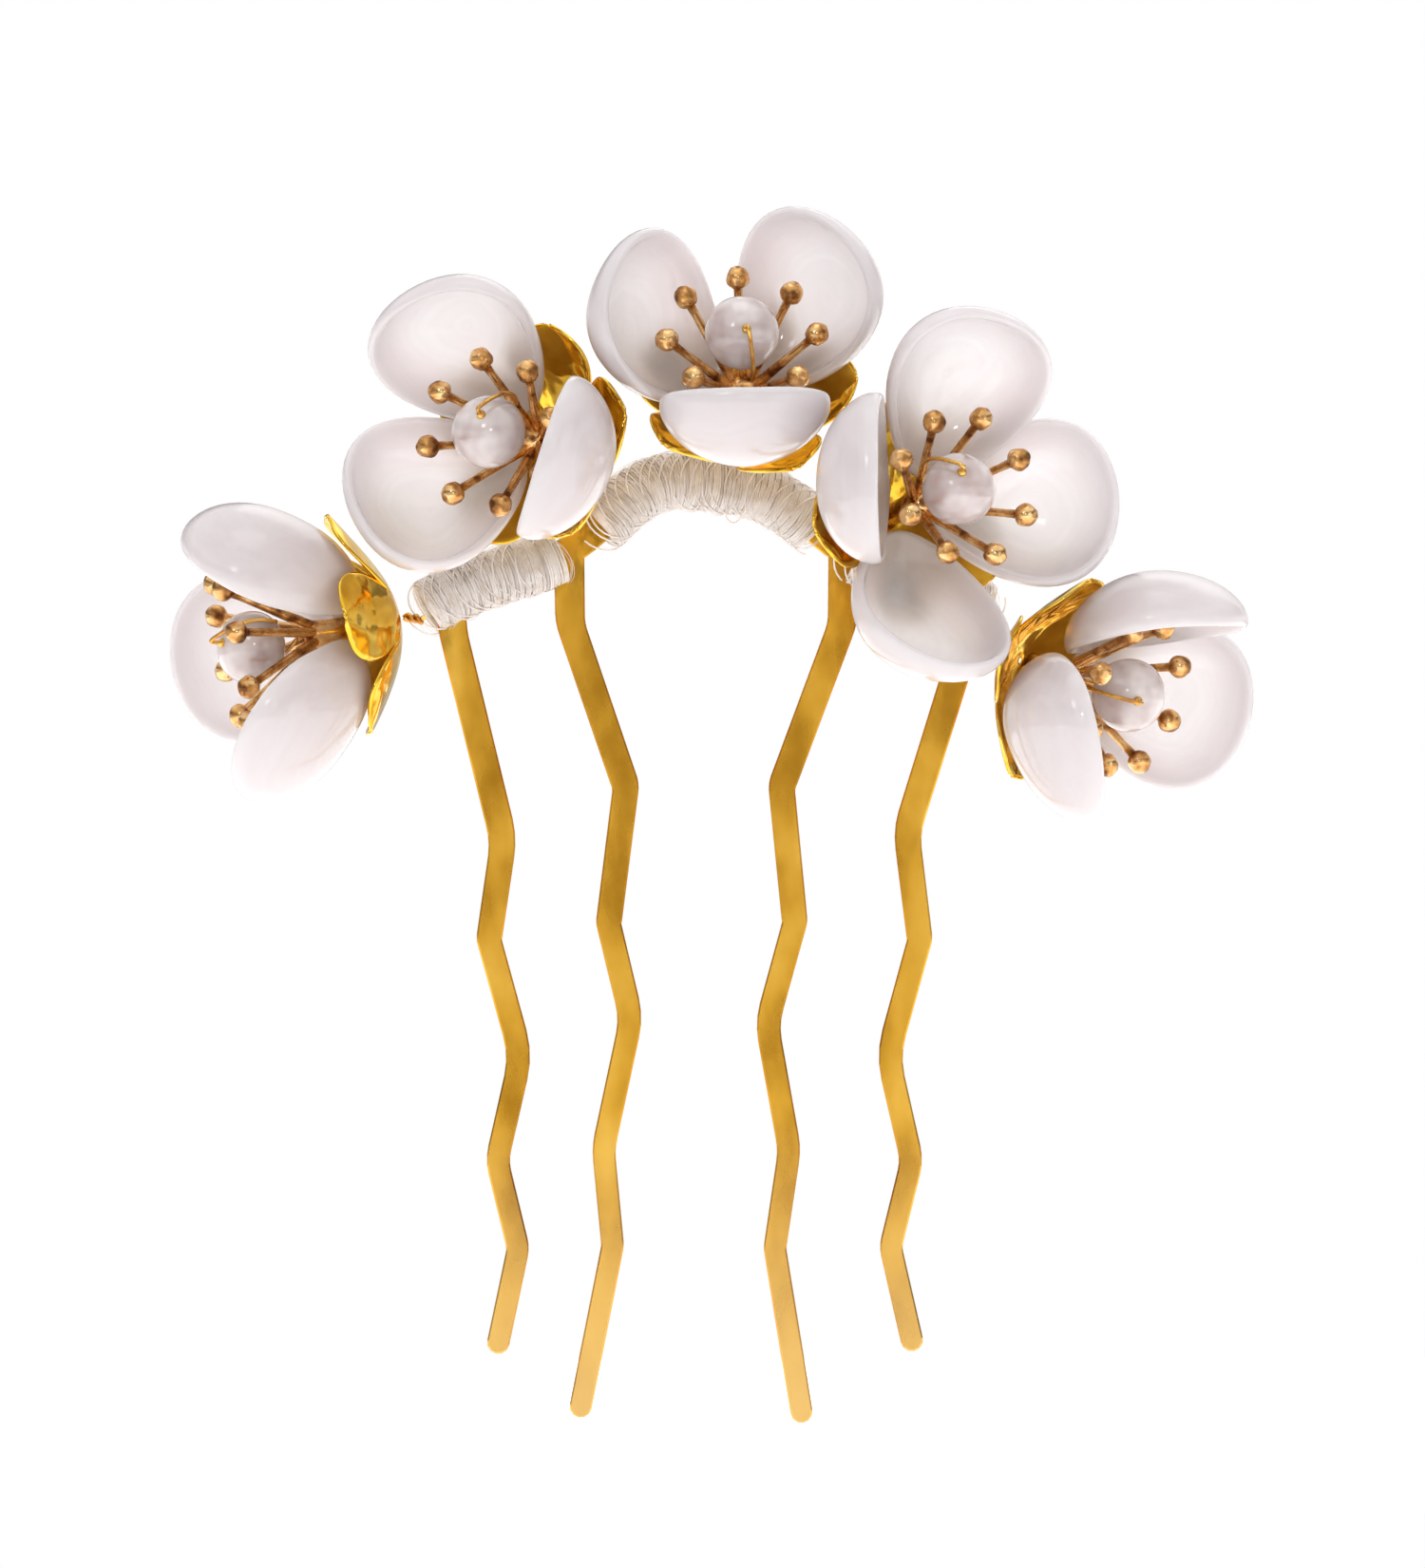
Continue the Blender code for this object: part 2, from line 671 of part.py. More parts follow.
def make_blossom(number, blossom, meshes, materials, collection):
    """Make one blossom's pieces on a pivot at the foot of its wire stem."""
    frame = flower_frame(blossom)
    pivot = bpy.data.objects.new(f"flower_{number}_pivot", None)
    collection.objects.link(pivot)
    pivot.location = stem_root(blossom)
    mesh = cap_mesh(blossom.lobe_rises)
    cap = add_mesh(f"calyx_{number}", mesh, collection, materials["gold"])
    seat(cap, pivot, frame @ Matrix.Rotation(math.radians(blossom.lobe_turn), 4, "Z"))
    for k, petal in enumerate(blossom.petals, 1):
        mesh = meshes["petal"].copy()
        piece = add_mesh(f"petal_{number}_{k}", mesh, collection, materials["petal"])
        seat(piece, pivot, frame @ petal_frame(petal))
    turn = Matrix.Rotation(math.radians(blossom.stamen_turn), 4, "Z")
    casting = stamens_mesh(blossom.stamen_lift * MM)
    piece = add_mesh(f"stamens_{number}", casting, collection, materials["bronze"])
    seat(piece, pivot, frame @ turn)
    drill = direction(blossom.drill_azimuth, blossom.drill_lean)
    lean = Vector((0, 0, 1)).rotation_difference(drill).to_matrix().to_4x4()
    height = Matrix.Translation((0, 0, blossom.pearl_height * MM))
    piece = add_mesh(f"pearl_{number}", meshes["pearl"].copy(), collection, materials["pearl"])
    seat(piece, pivot, frame @ height @ lean)
    wire = tube(f"pearl_wire_{number}", wire_points(blossom, drill), WIRE_RADIUS)
    piece = add_mesh(f"pearl_wire_{number}", wire, collection, materials["wire"])
    seat(piece, pivot, frame)
    make_stem(number, blossom, frame, pivot, collection, materials["wire"])


def stem_root(blossom):
    """Return where a stem ends, just off the thread winding."""
    spine = smooth_path([Vector((x, 0, z)) * MM for x, z in SPINE_PATH], WRAP_STEPS)
    place, ahead = stretch_of(spine, blossom.root_share, blossom.root_share + ROOT_STEP, 2)
    along = (ahead - place).normalized()
    upward = Vector((-along.z, 0, along.x))
    turn = math.radians(blossom.root_turn)
    outward = upward * math.cos(turn) + Vector((0, -1, 0)) * math.sin(turn)
    return place + outward * (WRAP_RADIUS + STEM_STANDOFF)


def make_stem(number, blossom, frame, pivot, collection, material):
    """Make the twisted wire stem from under the cap to the thread winding."""
    back = frame.to_3x3() @ Vector((0, 0, -1))
    start = frame.translation + back * (CAP_SHEET / 2 + GAP)
    root = stem_root(blossom)
    bend = start + back * STEM_PULL * (root - start).length
    curve = (start, bend, root)
    places = []
    for k in range(STEM_POINTS + 1):
        t = k / STEM_POINTS
        weights = ((1 - t) ** 2, 2 * t * (1 - t), t ** 2)
        place = sum((weight * point for weight, point in zip(weights, curve)), Vector())
        places.append(place - root)
    mesh = tube(f"stem_{number}", places, STEM_RADIUS)
    piece = add_mesh(f"stem_{number}", mesh, collection, material)
    piece.parent = pivot


def main():
    """Build the whole hair pin."""
    clear_scene()
    parts = new_collection("hair_pin")
    cutters = new_collection("cutters")
    materials = {
        "gold": new_material("gold_plate", (0.78, 0.50, 0.10), 0.22, 1.0),
        "bronze": new_material("antique_gold", (0.43, 0.20, 0.08), 0.38, 1.0),
        "wire": new_material("gold_wire", (0.76, 0.46, 0.11), 0.25, 1.0),
        "petal": new_material("milky_petal", (0.80, 0.76, 0.77), 0.15, 0.0, 0.9),
        "pearl": new_material("pearl", (0.74, 0.68, 0.69), 0.25, 0.0),
        "thread": new_material("white_thread", (0.87, 0.85, 0.84), 0.7, 0.0),
    }
    make_comb(parts, materials["gold"])
    make_wraps(parts, cutters, materials["thread"])
    meshes = {
        "petal": petal_mesh(),
        "pearl": pearl_mesh(),
    }
    for number, blossom in enumerate(BLOSSOMS, 1):
        make_blossom(number, blossom, meshes, materials, parts)
    for piece in parts.objects:
        if piece.type == "MESH" and not piece.name.startswith("comb"):
            piece.data.shade_smooth()
            piece.data.set_sharp_from_angle(angle=math.radians(40))


main()
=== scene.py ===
"""Looks of a hair pin: a wavy-toothed gold comb with five wired blossoms on a thread winding.

Every length is in metres unless a field says millimetres. The comb stands in the XZ plane with
its teeth down, and the blossoms face the -Y side.
"""

import json
import logging
import math
from collections.abc import Iterable, Sequence
from dataclasses import dataclass, field
from enum import Enum

import bmesh
import bpy
from mathutils import Matrix, Vector, noise

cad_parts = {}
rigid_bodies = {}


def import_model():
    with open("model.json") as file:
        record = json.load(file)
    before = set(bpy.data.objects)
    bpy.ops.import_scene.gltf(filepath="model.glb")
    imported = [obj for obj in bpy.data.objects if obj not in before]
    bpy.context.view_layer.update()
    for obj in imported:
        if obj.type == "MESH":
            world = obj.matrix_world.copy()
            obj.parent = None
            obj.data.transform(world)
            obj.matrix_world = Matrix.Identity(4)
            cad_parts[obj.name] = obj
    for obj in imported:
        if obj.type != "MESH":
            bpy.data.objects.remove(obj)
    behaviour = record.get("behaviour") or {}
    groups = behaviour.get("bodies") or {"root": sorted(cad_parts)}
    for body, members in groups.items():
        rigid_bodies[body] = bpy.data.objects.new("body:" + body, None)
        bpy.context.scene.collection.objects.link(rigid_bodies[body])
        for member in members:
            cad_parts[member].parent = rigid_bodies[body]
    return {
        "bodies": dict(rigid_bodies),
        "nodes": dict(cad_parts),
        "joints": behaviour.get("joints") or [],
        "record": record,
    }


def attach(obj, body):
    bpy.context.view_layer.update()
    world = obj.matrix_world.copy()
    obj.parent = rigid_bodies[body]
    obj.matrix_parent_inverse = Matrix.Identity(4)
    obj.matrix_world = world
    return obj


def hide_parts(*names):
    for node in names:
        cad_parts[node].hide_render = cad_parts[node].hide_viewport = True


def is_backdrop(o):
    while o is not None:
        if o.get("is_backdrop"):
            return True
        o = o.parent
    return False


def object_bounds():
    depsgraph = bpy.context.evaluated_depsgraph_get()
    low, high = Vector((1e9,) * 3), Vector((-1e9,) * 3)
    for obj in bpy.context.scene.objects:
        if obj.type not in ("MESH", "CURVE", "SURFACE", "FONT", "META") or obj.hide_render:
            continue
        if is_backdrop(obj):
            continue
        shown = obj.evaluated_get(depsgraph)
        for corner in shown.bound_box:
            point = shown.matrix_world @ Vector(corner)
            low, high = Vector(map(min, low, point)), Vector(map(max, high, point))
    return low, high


LOG = logging.getLogger("hair_pin")
MM = 0.001
SPINE_POINTS_MM = (
    (-22.5, -1.5), (-20.4, 0.2), (-16.8, 1.9), (-10.9, 3.9), (-7.9, 6.0),
    (-5.4, 8.3), (-2.9, 9.5), (0.4, 9.4), (4.3, 8.7), (7.5, 6.8),
    (9.8, 4.9), (12.5, 3.4), (16.8, 1.9), (20.6, 0.2), (22.7, -1.5),
)


class Slot(Enum):
    """The finishes that the pin is sold in, by their slot names."""

    GOLD_PLATE = "gold_plate"
    GOLD_CAP = "gold_cap"
    ANTIQUE_GOLD = "antique_gold"
    GOLD_WIRE = "gold_wire"
    MILKY_PETAL = "milky_petal"
    PEARL = "pearl"
    THREAD = "white_thread"


# ------------------------------------------------------------------ small tools


def linear(code: str) -> tuple[float, float, float, float]:
    """Turn an sRGB hex colour to linear.

    Args:
        code: Six hex digits after a hash.

    Returns:
        Linear red, green and blue, with an alpha of one.
    """
    shares = [int(code[i:i + 2], 16) / 255 for i in (1, 3, 5)]
    curve = [v / 12.92 if v <= 0.04045 else ((v + 0.055) / 1.055) ** 2.4 for v in shares]
    return (*curve, 1.0)


def add_node(
    tree: bpy.types.NodeTree,
    kind: str,
    settings: dict | None = None,
    links: dict | None = None,
) -> bpy.types.Node:
    """Add a node with its settings and links.

    Args:
        tree: The tree that the node joins.
        kind: The node's type name.
        settings: Values by property name, or by input name or number.
        links: Sockets that feed this node, by input name or number.

    Returns:
        The new node.
    """
    node = tree.nodes.new(kind)
    for name, value in (settings or {}).items():
        if isinstance(name, str) and hasattr(node, name):
            setattr(node, name, value)
        else:
            node.inputs[name].default_value = value
    for name, socket in (links or {}).items():
        tree.links.new(socket, node.inputs[name])
    return node


def new_mesh_object(name: str, mesh: bpy.types.Mesh) -> bpy.types.Object:
    """Put a mesh in a new object of the scene."""
    made = bpy.data.objects.new(name, mesh)
    bpy.context.scene.collection.objects.link(made)
    return made


def mesh_of(work: bmesh.types.BMesh, name: str, weld: float = 0.002 * MM) -> bpy.types.Mesh:
    """Close a work mesh into mesh data.

    Args:
        work: The work mesh, which is freed.
        name: The name of the new data.
        weld: Points nearer than this become one.

    Returns:
        Mesh data whose faces point outwards.
    """
    bmesh.ops.remove_doubles(work, verts=work.verts, dist=weld)
    bmesh.ops.recalc_face_normals(work, faces=work.faces)
    mesh = bpy.data.meshes.new(name)
    work.to_mesh(mesh)
    work.free()
    return mesh


def applied(holder: bpy.types.Object) -> bpy.types.Mesh:
    """Take the plain mesh that an object's modifiers give.

    Args:
        holder: An object that is removed afterwards.

    Returns:
        The evaluated mesh.
    """
    graph = bpy.context.evaluated_depsgraph_get()
    mesh = bpy.data.meshes.new_from_object(holder.evaluated_get(graph))
    bpy.data.objects.remove(holder)
    return mesh


def smooth_path(points: Sequence[Vector], per_stretch: int) -> list[Vector]:
    """Read a Catmull-Rom curve through some points.

    Args:
        points: The points that the curve passes through.
        per_stretch: How many places to read between two of them.

    Returns:
        Places along the curve.
    """
    ends = [2 * points[0] - points[1], *points, 2 * points[-1] - points[-2]]
    path = []
    for i in range(1, len(ends) - 2):
        before, start, stop, after = ends[i - 1:i + 3]
        for step in range(per_stretch):
            t = step / per_stretch
            path.append(0.5 * (
                2 * start + (stop - before) * t
                + (2 * before - 5 * start + 4 * stop - after) * t ** 2
                + (3 * start - before - 3 * stop + after) * t ** 3
            ))
    path.append(points[-1].copy())
    return path


def path_length(path: Sequence[Vector]) -> float:
    """Add up the steps of a path."""
    return sum((stop - start).length for start, stop in zip(path, path[1:]))


def share_of_path(path: Sequence[Vector], share: float) -> Vector:
    """Read the place at a share of a path's length.

    Args:
        path: The path's places.
        share: From 0 at its start to 1 at its end.

    Returns:
        The place there.
    """
    left = share * path_length(path)
    for start, stop in zip(path, path[1:]):
        step = (stop - start).length
        if left <= step:
            return start.lerp(stop, left / step)
        left -= step
    return path[-1].copy()


def spine_path() -> list[Vector]:
    """Read the comb's spine as a smooth line in the comb's middle plane."""
    return smooth_path([Vector((x, 0, z)) * MM for x, z in SPINE_POINTS_MM], 8)


def line_object(name: str, places: Sequence[Vector]) -> bpy.types.Object:
    """Make an object of one line of edges, for a node tree to follow."""
    mesh = bpy.data.meshes.new(name)
    mesh.from_pydata([tuple(place) for place in places], [(i, i + 1) for i in range(len(places) - 1)], [])
    return new_mesh_object(name, mesh)


def tube_mesh(name: str, places: Sequence[Vector], radius: float, rounds: int = 3) -> bpy.types.Mesh:
    """Sweep a round section along a path and close its ends.

    Args:
        name: The name of the new data.
        places: The path.
        radius: The section's radius.
        rounds: How finely the section is rounded.

    Returns:
        A closed mesh.
    """
    curve = bpy.data.curves.new(name, "CURVE")
    curve.dimensions = "3D"
    curve.bevel_depth = radius
    curve.bevel_resolution = rounds
    curve.use_fill_caps = True
    spline = curve.splines.new("POLY")
    spline.points.add(len(places) - 1)
    for point, place in zip(spline.points, places):
        point.co = (*place, 1)
    holder = bpy.data.objects.new(name, curve)
    bpy.context.scene.collection.objects.link(holder)
    work = bmesh.new()
    work.from_mesh(applied(holder))
    return mesh_of(work, name)


def turned_mesh(name: str, profile: Sequence[tuple], sides: int, closed: bool = False) -> bpy.types.Mesh:
    """Turn a section about Z.

    Args:
        name: The name of the new data.
        profile: Points (radius, height).
        sides: How many steps a turn has.
        closed: Whether the section's last point joins its first.

    Returns:
        A closed mesh.
    """
    work = bmesh.new()
    rings = []
    for radius, height in profile:
        ring = []
        for k in range(sides):
            turn = 2 * math.pi * k / sides
            ring.append(work.verts.new((radius * math.cos(turn), radius * math.sin(turn), height)))
        rings.append(ring)
    pairs = list(zip(rings, rings[1:]))
    if closed:
        pairs.append((rings[-1], rings[0]))
    for lower, upper in pairs:
        for k in range(sides):
            beside = (k + 1) % sides
            work.faces.new((lower[k], lower[beside], upper[beside], upper[k]))
    return mesh_of(work, name)


def finish_piece(
    name: str,
    meshes: Iterable[bpy.types.Mesh],
    material: bpy.types.Material,
    body: str,
    nodes: Sequence[str],
) -> bpy.types.Object:
    """Join meshes in one dressed piece that rides a body and stands for CAD nodes.

    Args:
        name: The piece's name.
        meshes: Mesh data already in place.
        material: The piece's finish.
        body: The body that it rides.
        nodes: The CAD nodes that it stands for.

    Returns:
        The finished piece.
    """
    meshes = list(meshes)
    mesh = meshes[0]
    if len(meshes) > 1:
        work = bmesh.new()
        for part in meshes:
            work.from_mesh(part)
        mesh = bpy.data.meshes.new(name)
        work.to_mesh(mesh)
        work.free()
    mesh.name = name
    mesh.materials.clear()
    mesh.materials.append(material)
    mesh.shade_smooth()
    piece = new_mesh_object(name, mesh)
    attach(piece, body)
    if nodes:
        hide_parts(*nodes)
    triangles = sum(len(face.vertices) - 2 for face in mesh.polygons)
    LOG.info("%s: %d triangles on %s", name, triangles, body)
    return piece


# ------------------------------------------------------------------ node trees


@dataclass(frozen=True)
class TreeInput:
    """One named input of a geometry tree: its name, its socket type and what it starts as."""

    name: str
    kind: str
    value: float | int | None = None


@dataclass
class ShapeTree:
    """A geometry node tree with named inputs, which subclasses fill with nodes."""

    name: str
    inputs: tuple[TreeInput, ...] = ()
    tree: bpy.types.NodeTree = field(init=False)
    keys: dict[str, str] = field(init=False, default_factory=dict)

    def __post_init__(self) -> None:
        """Make the tree, its sockets and its nodes."""
        self.tree = bpy.data.node_groups.new(self.name, "GeometryNodeTree")
        face = self.tree.interface
        face.new_socket("Geometry", in_out="INPUT", socket_type="NodeSocketGeometry")
        face.new_socket("Geometry", in_out="OUTPUT", socket_type="NodeSocketGeometry")
        for wanted in self.inputs:
            socket = face.new_socket(wanted.name, in_out="INPUT", socket_type=wanted.kind)
            if wanted.value is not None:
                socket.default_value = wanted.value
            self.keys[wanted.name] = socket.identifier
        given = self.tree.nodes.new("NodeGroupInput").outputs
        self.close(self.shape(given), given)

    def shape(self, given: bpy.types.NodeOutputs) -> bpy.types.NodeSocket:
        """Add the nodes that make the shape.

        Args:
            given: The tree's inputs.

        Returns:
            The socket that holds the shape.
        """
        raise NotImplementedError

    def close(self, shape: bpy.types.NodeSocket, given: bpy.types.NodeOutputs) -> None:
        """End the tree in realized and dressed geometry.

        Args:
            shape: The socket that holds the shape.
            given: The tree's inputs.
        """
        real = add_node(self.tree, "GeometryNodeRealizeInstances", {}, {"Geometry": shape})
        dressed = add_node(self.tree, "GeometryNodeSetMaterial", {}, {
            "Geometry": real.outputs[0], "Material": given["Material"],
        })
        add_node(self.tree, "NodeGroupOutput", {}, {"Geometry": dressed.outputs[0]})

    def run(self, holder: bpy.types.Object, **values: object) -> bpy.types.Mesh:
        """Run the tree on an object and take the plain mesh.

        Args:
            holder: The object to start from, which is removed.
            **values: Input values by name, with underscores for spaces.

        Returns:
            The mesh that the tree makes.
        """
        modifier = holder.modifiers.new(self.name, "NODES")
        modifier.node_group = self.tree
        for name, value in values.items():
            modifier[self.keys[name.replace("_", " ")]] = value
        return applied(holder)

    def math(self, operation: str, *terms: object) -> bpy.types.NodeSocket:
        """Add one sum to the tree.

        Args:
            operation: What the sum does.
            *terms: Its sockets and numbers.

        Returns:
            The sum's result.
        """
        settings = {i: term for i, term in enumerate(terms) if isinstance(term, (int, float))}
        links = {i: term for i, term in enumerate(terms) if i not in settings}
        node = add_node(self.tree, "ShaderNodeMath", {"operation": operation, **settings}, links)
        return node.outputs[0]

    def vector(
        self,
        operation: str,
        first: bpy.types.NodeSocket,
        second: bpy.types.NodeSocket | None = None,
        scale: bpy.types.NodeSocket | None = None,
    ) -> bpy.types.NodeSocket:
        """Add one vector sum to the tree.

        Args:
            operation: What the sum does.
            first: Its first vector.
            second: Its second vector, where it has one.
            scale: The factor of a scaling.

        Returns:
            The sum's result.
        """
        links = {0: first, 1: second, "Scale": scale}
        links = {name: socket for name, socket in links.items() if socket is not None}
        node = add_node(self.tree, "ShaderNodeVectorMath", {"operation": operation}, links)
        return node.outputs[0]


@dataclass
class CoilTree(ShapeTree):
    """Winds a strand round a line, with lumps, a slant and a wandering pitch."""

    drift_a_turn: float = 0.11

    def shape(self, given: bpy.types.NodeOutputs) -> bpy.types.NodeSocket:
        """Bend the line to a coil and sweep a round strand along it.

        Args:
            given: The tree's inputs.

        Returns:
            The socket that holds the strand.
        """
        tree = self.tree
        line = add_node(tree, "GeometryNodeMeshToCurve", {}, {"Mesh": given["Geometry"]})
        count = self.math("MULTIPLY", given["Turns"], given["Points a turn"])
        fine = add_node(tree, "GeometryNodeResampleCurve", {"mode": "COUNT"}, {
            "Curve": line.outputs[0], "Count": count,
        })
        share = add_node(tree, "GeometryNodeSplineParameter").outputs["Factor"]
        around = self.math("MULTIPLY", share, self.math("MULTIPLY", given["Turns"], math.tau))
        angle = self.math("ADD", around, given["Phase"])
        cosine = self.math("COSINE", angle)
        sine = self.math("SINE", angle)
        along = self.math("MULTIPLY", share, given["Length in lumps"])
        spot = add_node(tree, "ShaderNodeCombineXYZ", {}, {"X": along, "Y": cosine, "Z": sine})
        lumps = add_node(tree, "ShaderNodeTexNoise", {"noise_dimensions": "4D", "Scale": 1.0}, {
            "Vector": spot.outputs[0], "W": given["Seed"],
        })
        rise = self.math("MULTIPLY", self.math("SUBTRACT", lumps.outputs[0], 0.5), given["Lump height"])
        radius = self.math("ADD", given["Coil radius"], rise)
        tangent = add_node(tree, "GeometryNodeInputTangent").outputs[0]
        normal = add_node(tree, "GeometryNodeInputNormal").outputs[0]
        side = self.vector("CROSS_PRODUCT", tangent, normal)
        out_one = self.vector("SCALE", normal, scale=self.math("MULTIPLY", radius, cosine))
        out_two = self.vector("SCALE", side, scale=self.math("MULTIPLY", radius, sine))
        drift = add_node(tree, "ShaderNodeTexNoise", {"noise_dimensions": "2D", "Scale": 1.0}, {
            "Vector": add_node(tree, "ShaderNodeCombineXYZ", {}, {
                "X": self.math("MULTIPLY", around, self.drift_a_turn), "Y": given["Seed"],
            }).outputs[0],
        })
        wander = self.math("MULTIPLY", self.math("SUBTRACT", drift.outputs[0], 0.5), given["Wander"])
        slant = self.math("MULTIPLY", given["Slant"], cosine)
        shift = self.vector("SCALE", tangent, scale=self.math("ADD", slant, wander))
        offset = self.vector("ADD", self.vector("ADD", out_one, out_two), shift)
        coil = add_node(tree, "GeometryNodeSetPosition", {}, {
            "Geometry": fine.outputs[0], "Offset": offset,
        })
        section = add_node(tree, "GeometryNodeCurvePrimitiveCircle", {"mode": "RADIUS"}, {
            "Resolution": given["Strand sides"], "Radius": given["Strand radius"],
        })
        strand = add_node(tree, "GeometryNodeCurveToMesh", {"Fill Caps": True}, {
            "Curve": coil.outputs[0], "Profile Curve": section.outputs[0],
        })
        return strand.outputs[0]


@dataclass
class RingTree(ShapeTree):
    """Repeats one leaning shape round Z, each copy a little different."""

    def shape(self, given: bpy.types.NodeOutputs) -> bpy.types.NodeSocket:
        """Set copies round a ring and lean each one outwards.

        Args:
            given: The tree's inputs.

        Returns:
            The socket that holds the copies.
        """
        tree = self.tree
        row = add_node(tree, "GeometryNodeMeshLine", {"mode": "OFFSET"}, {"Count": given["Count"]})
        index = add_node(tree, "GeometryNodeInputIndex").outputs[0]
        turn = self.math("DIVIDE", self.math("MULTIPLY", index, math.tau), given["Count"])
        x = self.math("MULTIPLY", self.math("COSINE", turn), given["Foot distance"])
        y = self.math("MULTIPLY", self.math("SINE", turn), given["Foot distance"])
        place = add_node(tree, "ShaderNodeCombineXYZ", {}, {"X": x, "Y": y, "Z": given["Foot height"]})
        ring = add_node(tree, "GeometryNodeSetPosition", {}, {
            "Geometry": row.outputs[0], "Position": place.outputs[0],
        })
        spread = add_node(tree, "FunctionNodeRandomValue", {"data_type": "FLOAT", 2: -1.0, 3: 1.0}, {
            "ID": index, "Seed": given["Seed"],
        })
        uneven = self.math("MULTIPLY", spread.outputs[1], given["Lean spread"])
        lean = self.math("ADD", given["Lean"], uneven)
        turned = add_node(tree, "ShaderNodeCombineXYZ", {}, {"Y": lean, "Z": turn})
        copies = add_node(tree, "GeometryNodeInstanceOnPoints", {}, {
            "Points": ring.outputs[0], "Instance": given["Geometry"], "Rotation": turned.outputs[0],
        })
        return copies.outputs[0]


def coil_tree() -> CoilTree:
    """Make the tree that winds thread and twists wire.

    Returns:
        The tree, with its inputs at a thread's values.
    """
    number = "NodeSocketFloat"
    return CoilTree("coil_round_line", (
        TreeInput("Turns", number, 10.0), TreeInput("Points a turn", "NodeSocketInt", 20),
        TreeInput("Coil radius", number, 2 * MM), TreeInput("Strand radius", number, 0.1 * MM),
        TreeInput("Strand sides", "NodeSocketInt", 6), TreeInput("Phase", number, 0.0),
        TreeInput("Slant", number, 0.0), TreeInput("Wander", number, 0.0),
        TreeInput("Lump height", number, 0.0), TreeInput("Length in lumps", number, 1.0),
        TreeInput("Seed", number, 1.0), TreeInput("Material", "NodeSocketMaterial"),
    ))


def ring_tree() -> RingTree:
    """Make the tree that repeats stamens round a flower.

    Returns:
        The tree, which leans nothing until it is told to.
    """
    number = "NodeSocketFloat"
    return RingTree("copies_in_a_ring", (
        TreeInput("Count", "NodeSocketInt", 8), TreeInput("Foot distance", number, 0.0),
        TreeInput("Foot height", number, 0.0), TreeInput("Lean", number, 0.0),
        TreeInput("Lean spread", number, 0.0), TreeInput("Seed", "NodeSocketInt", 1),
        TreeInput("Material", "NodeSocketMaterial"),
    ))


# ------------------------------------------------------------------ finishes


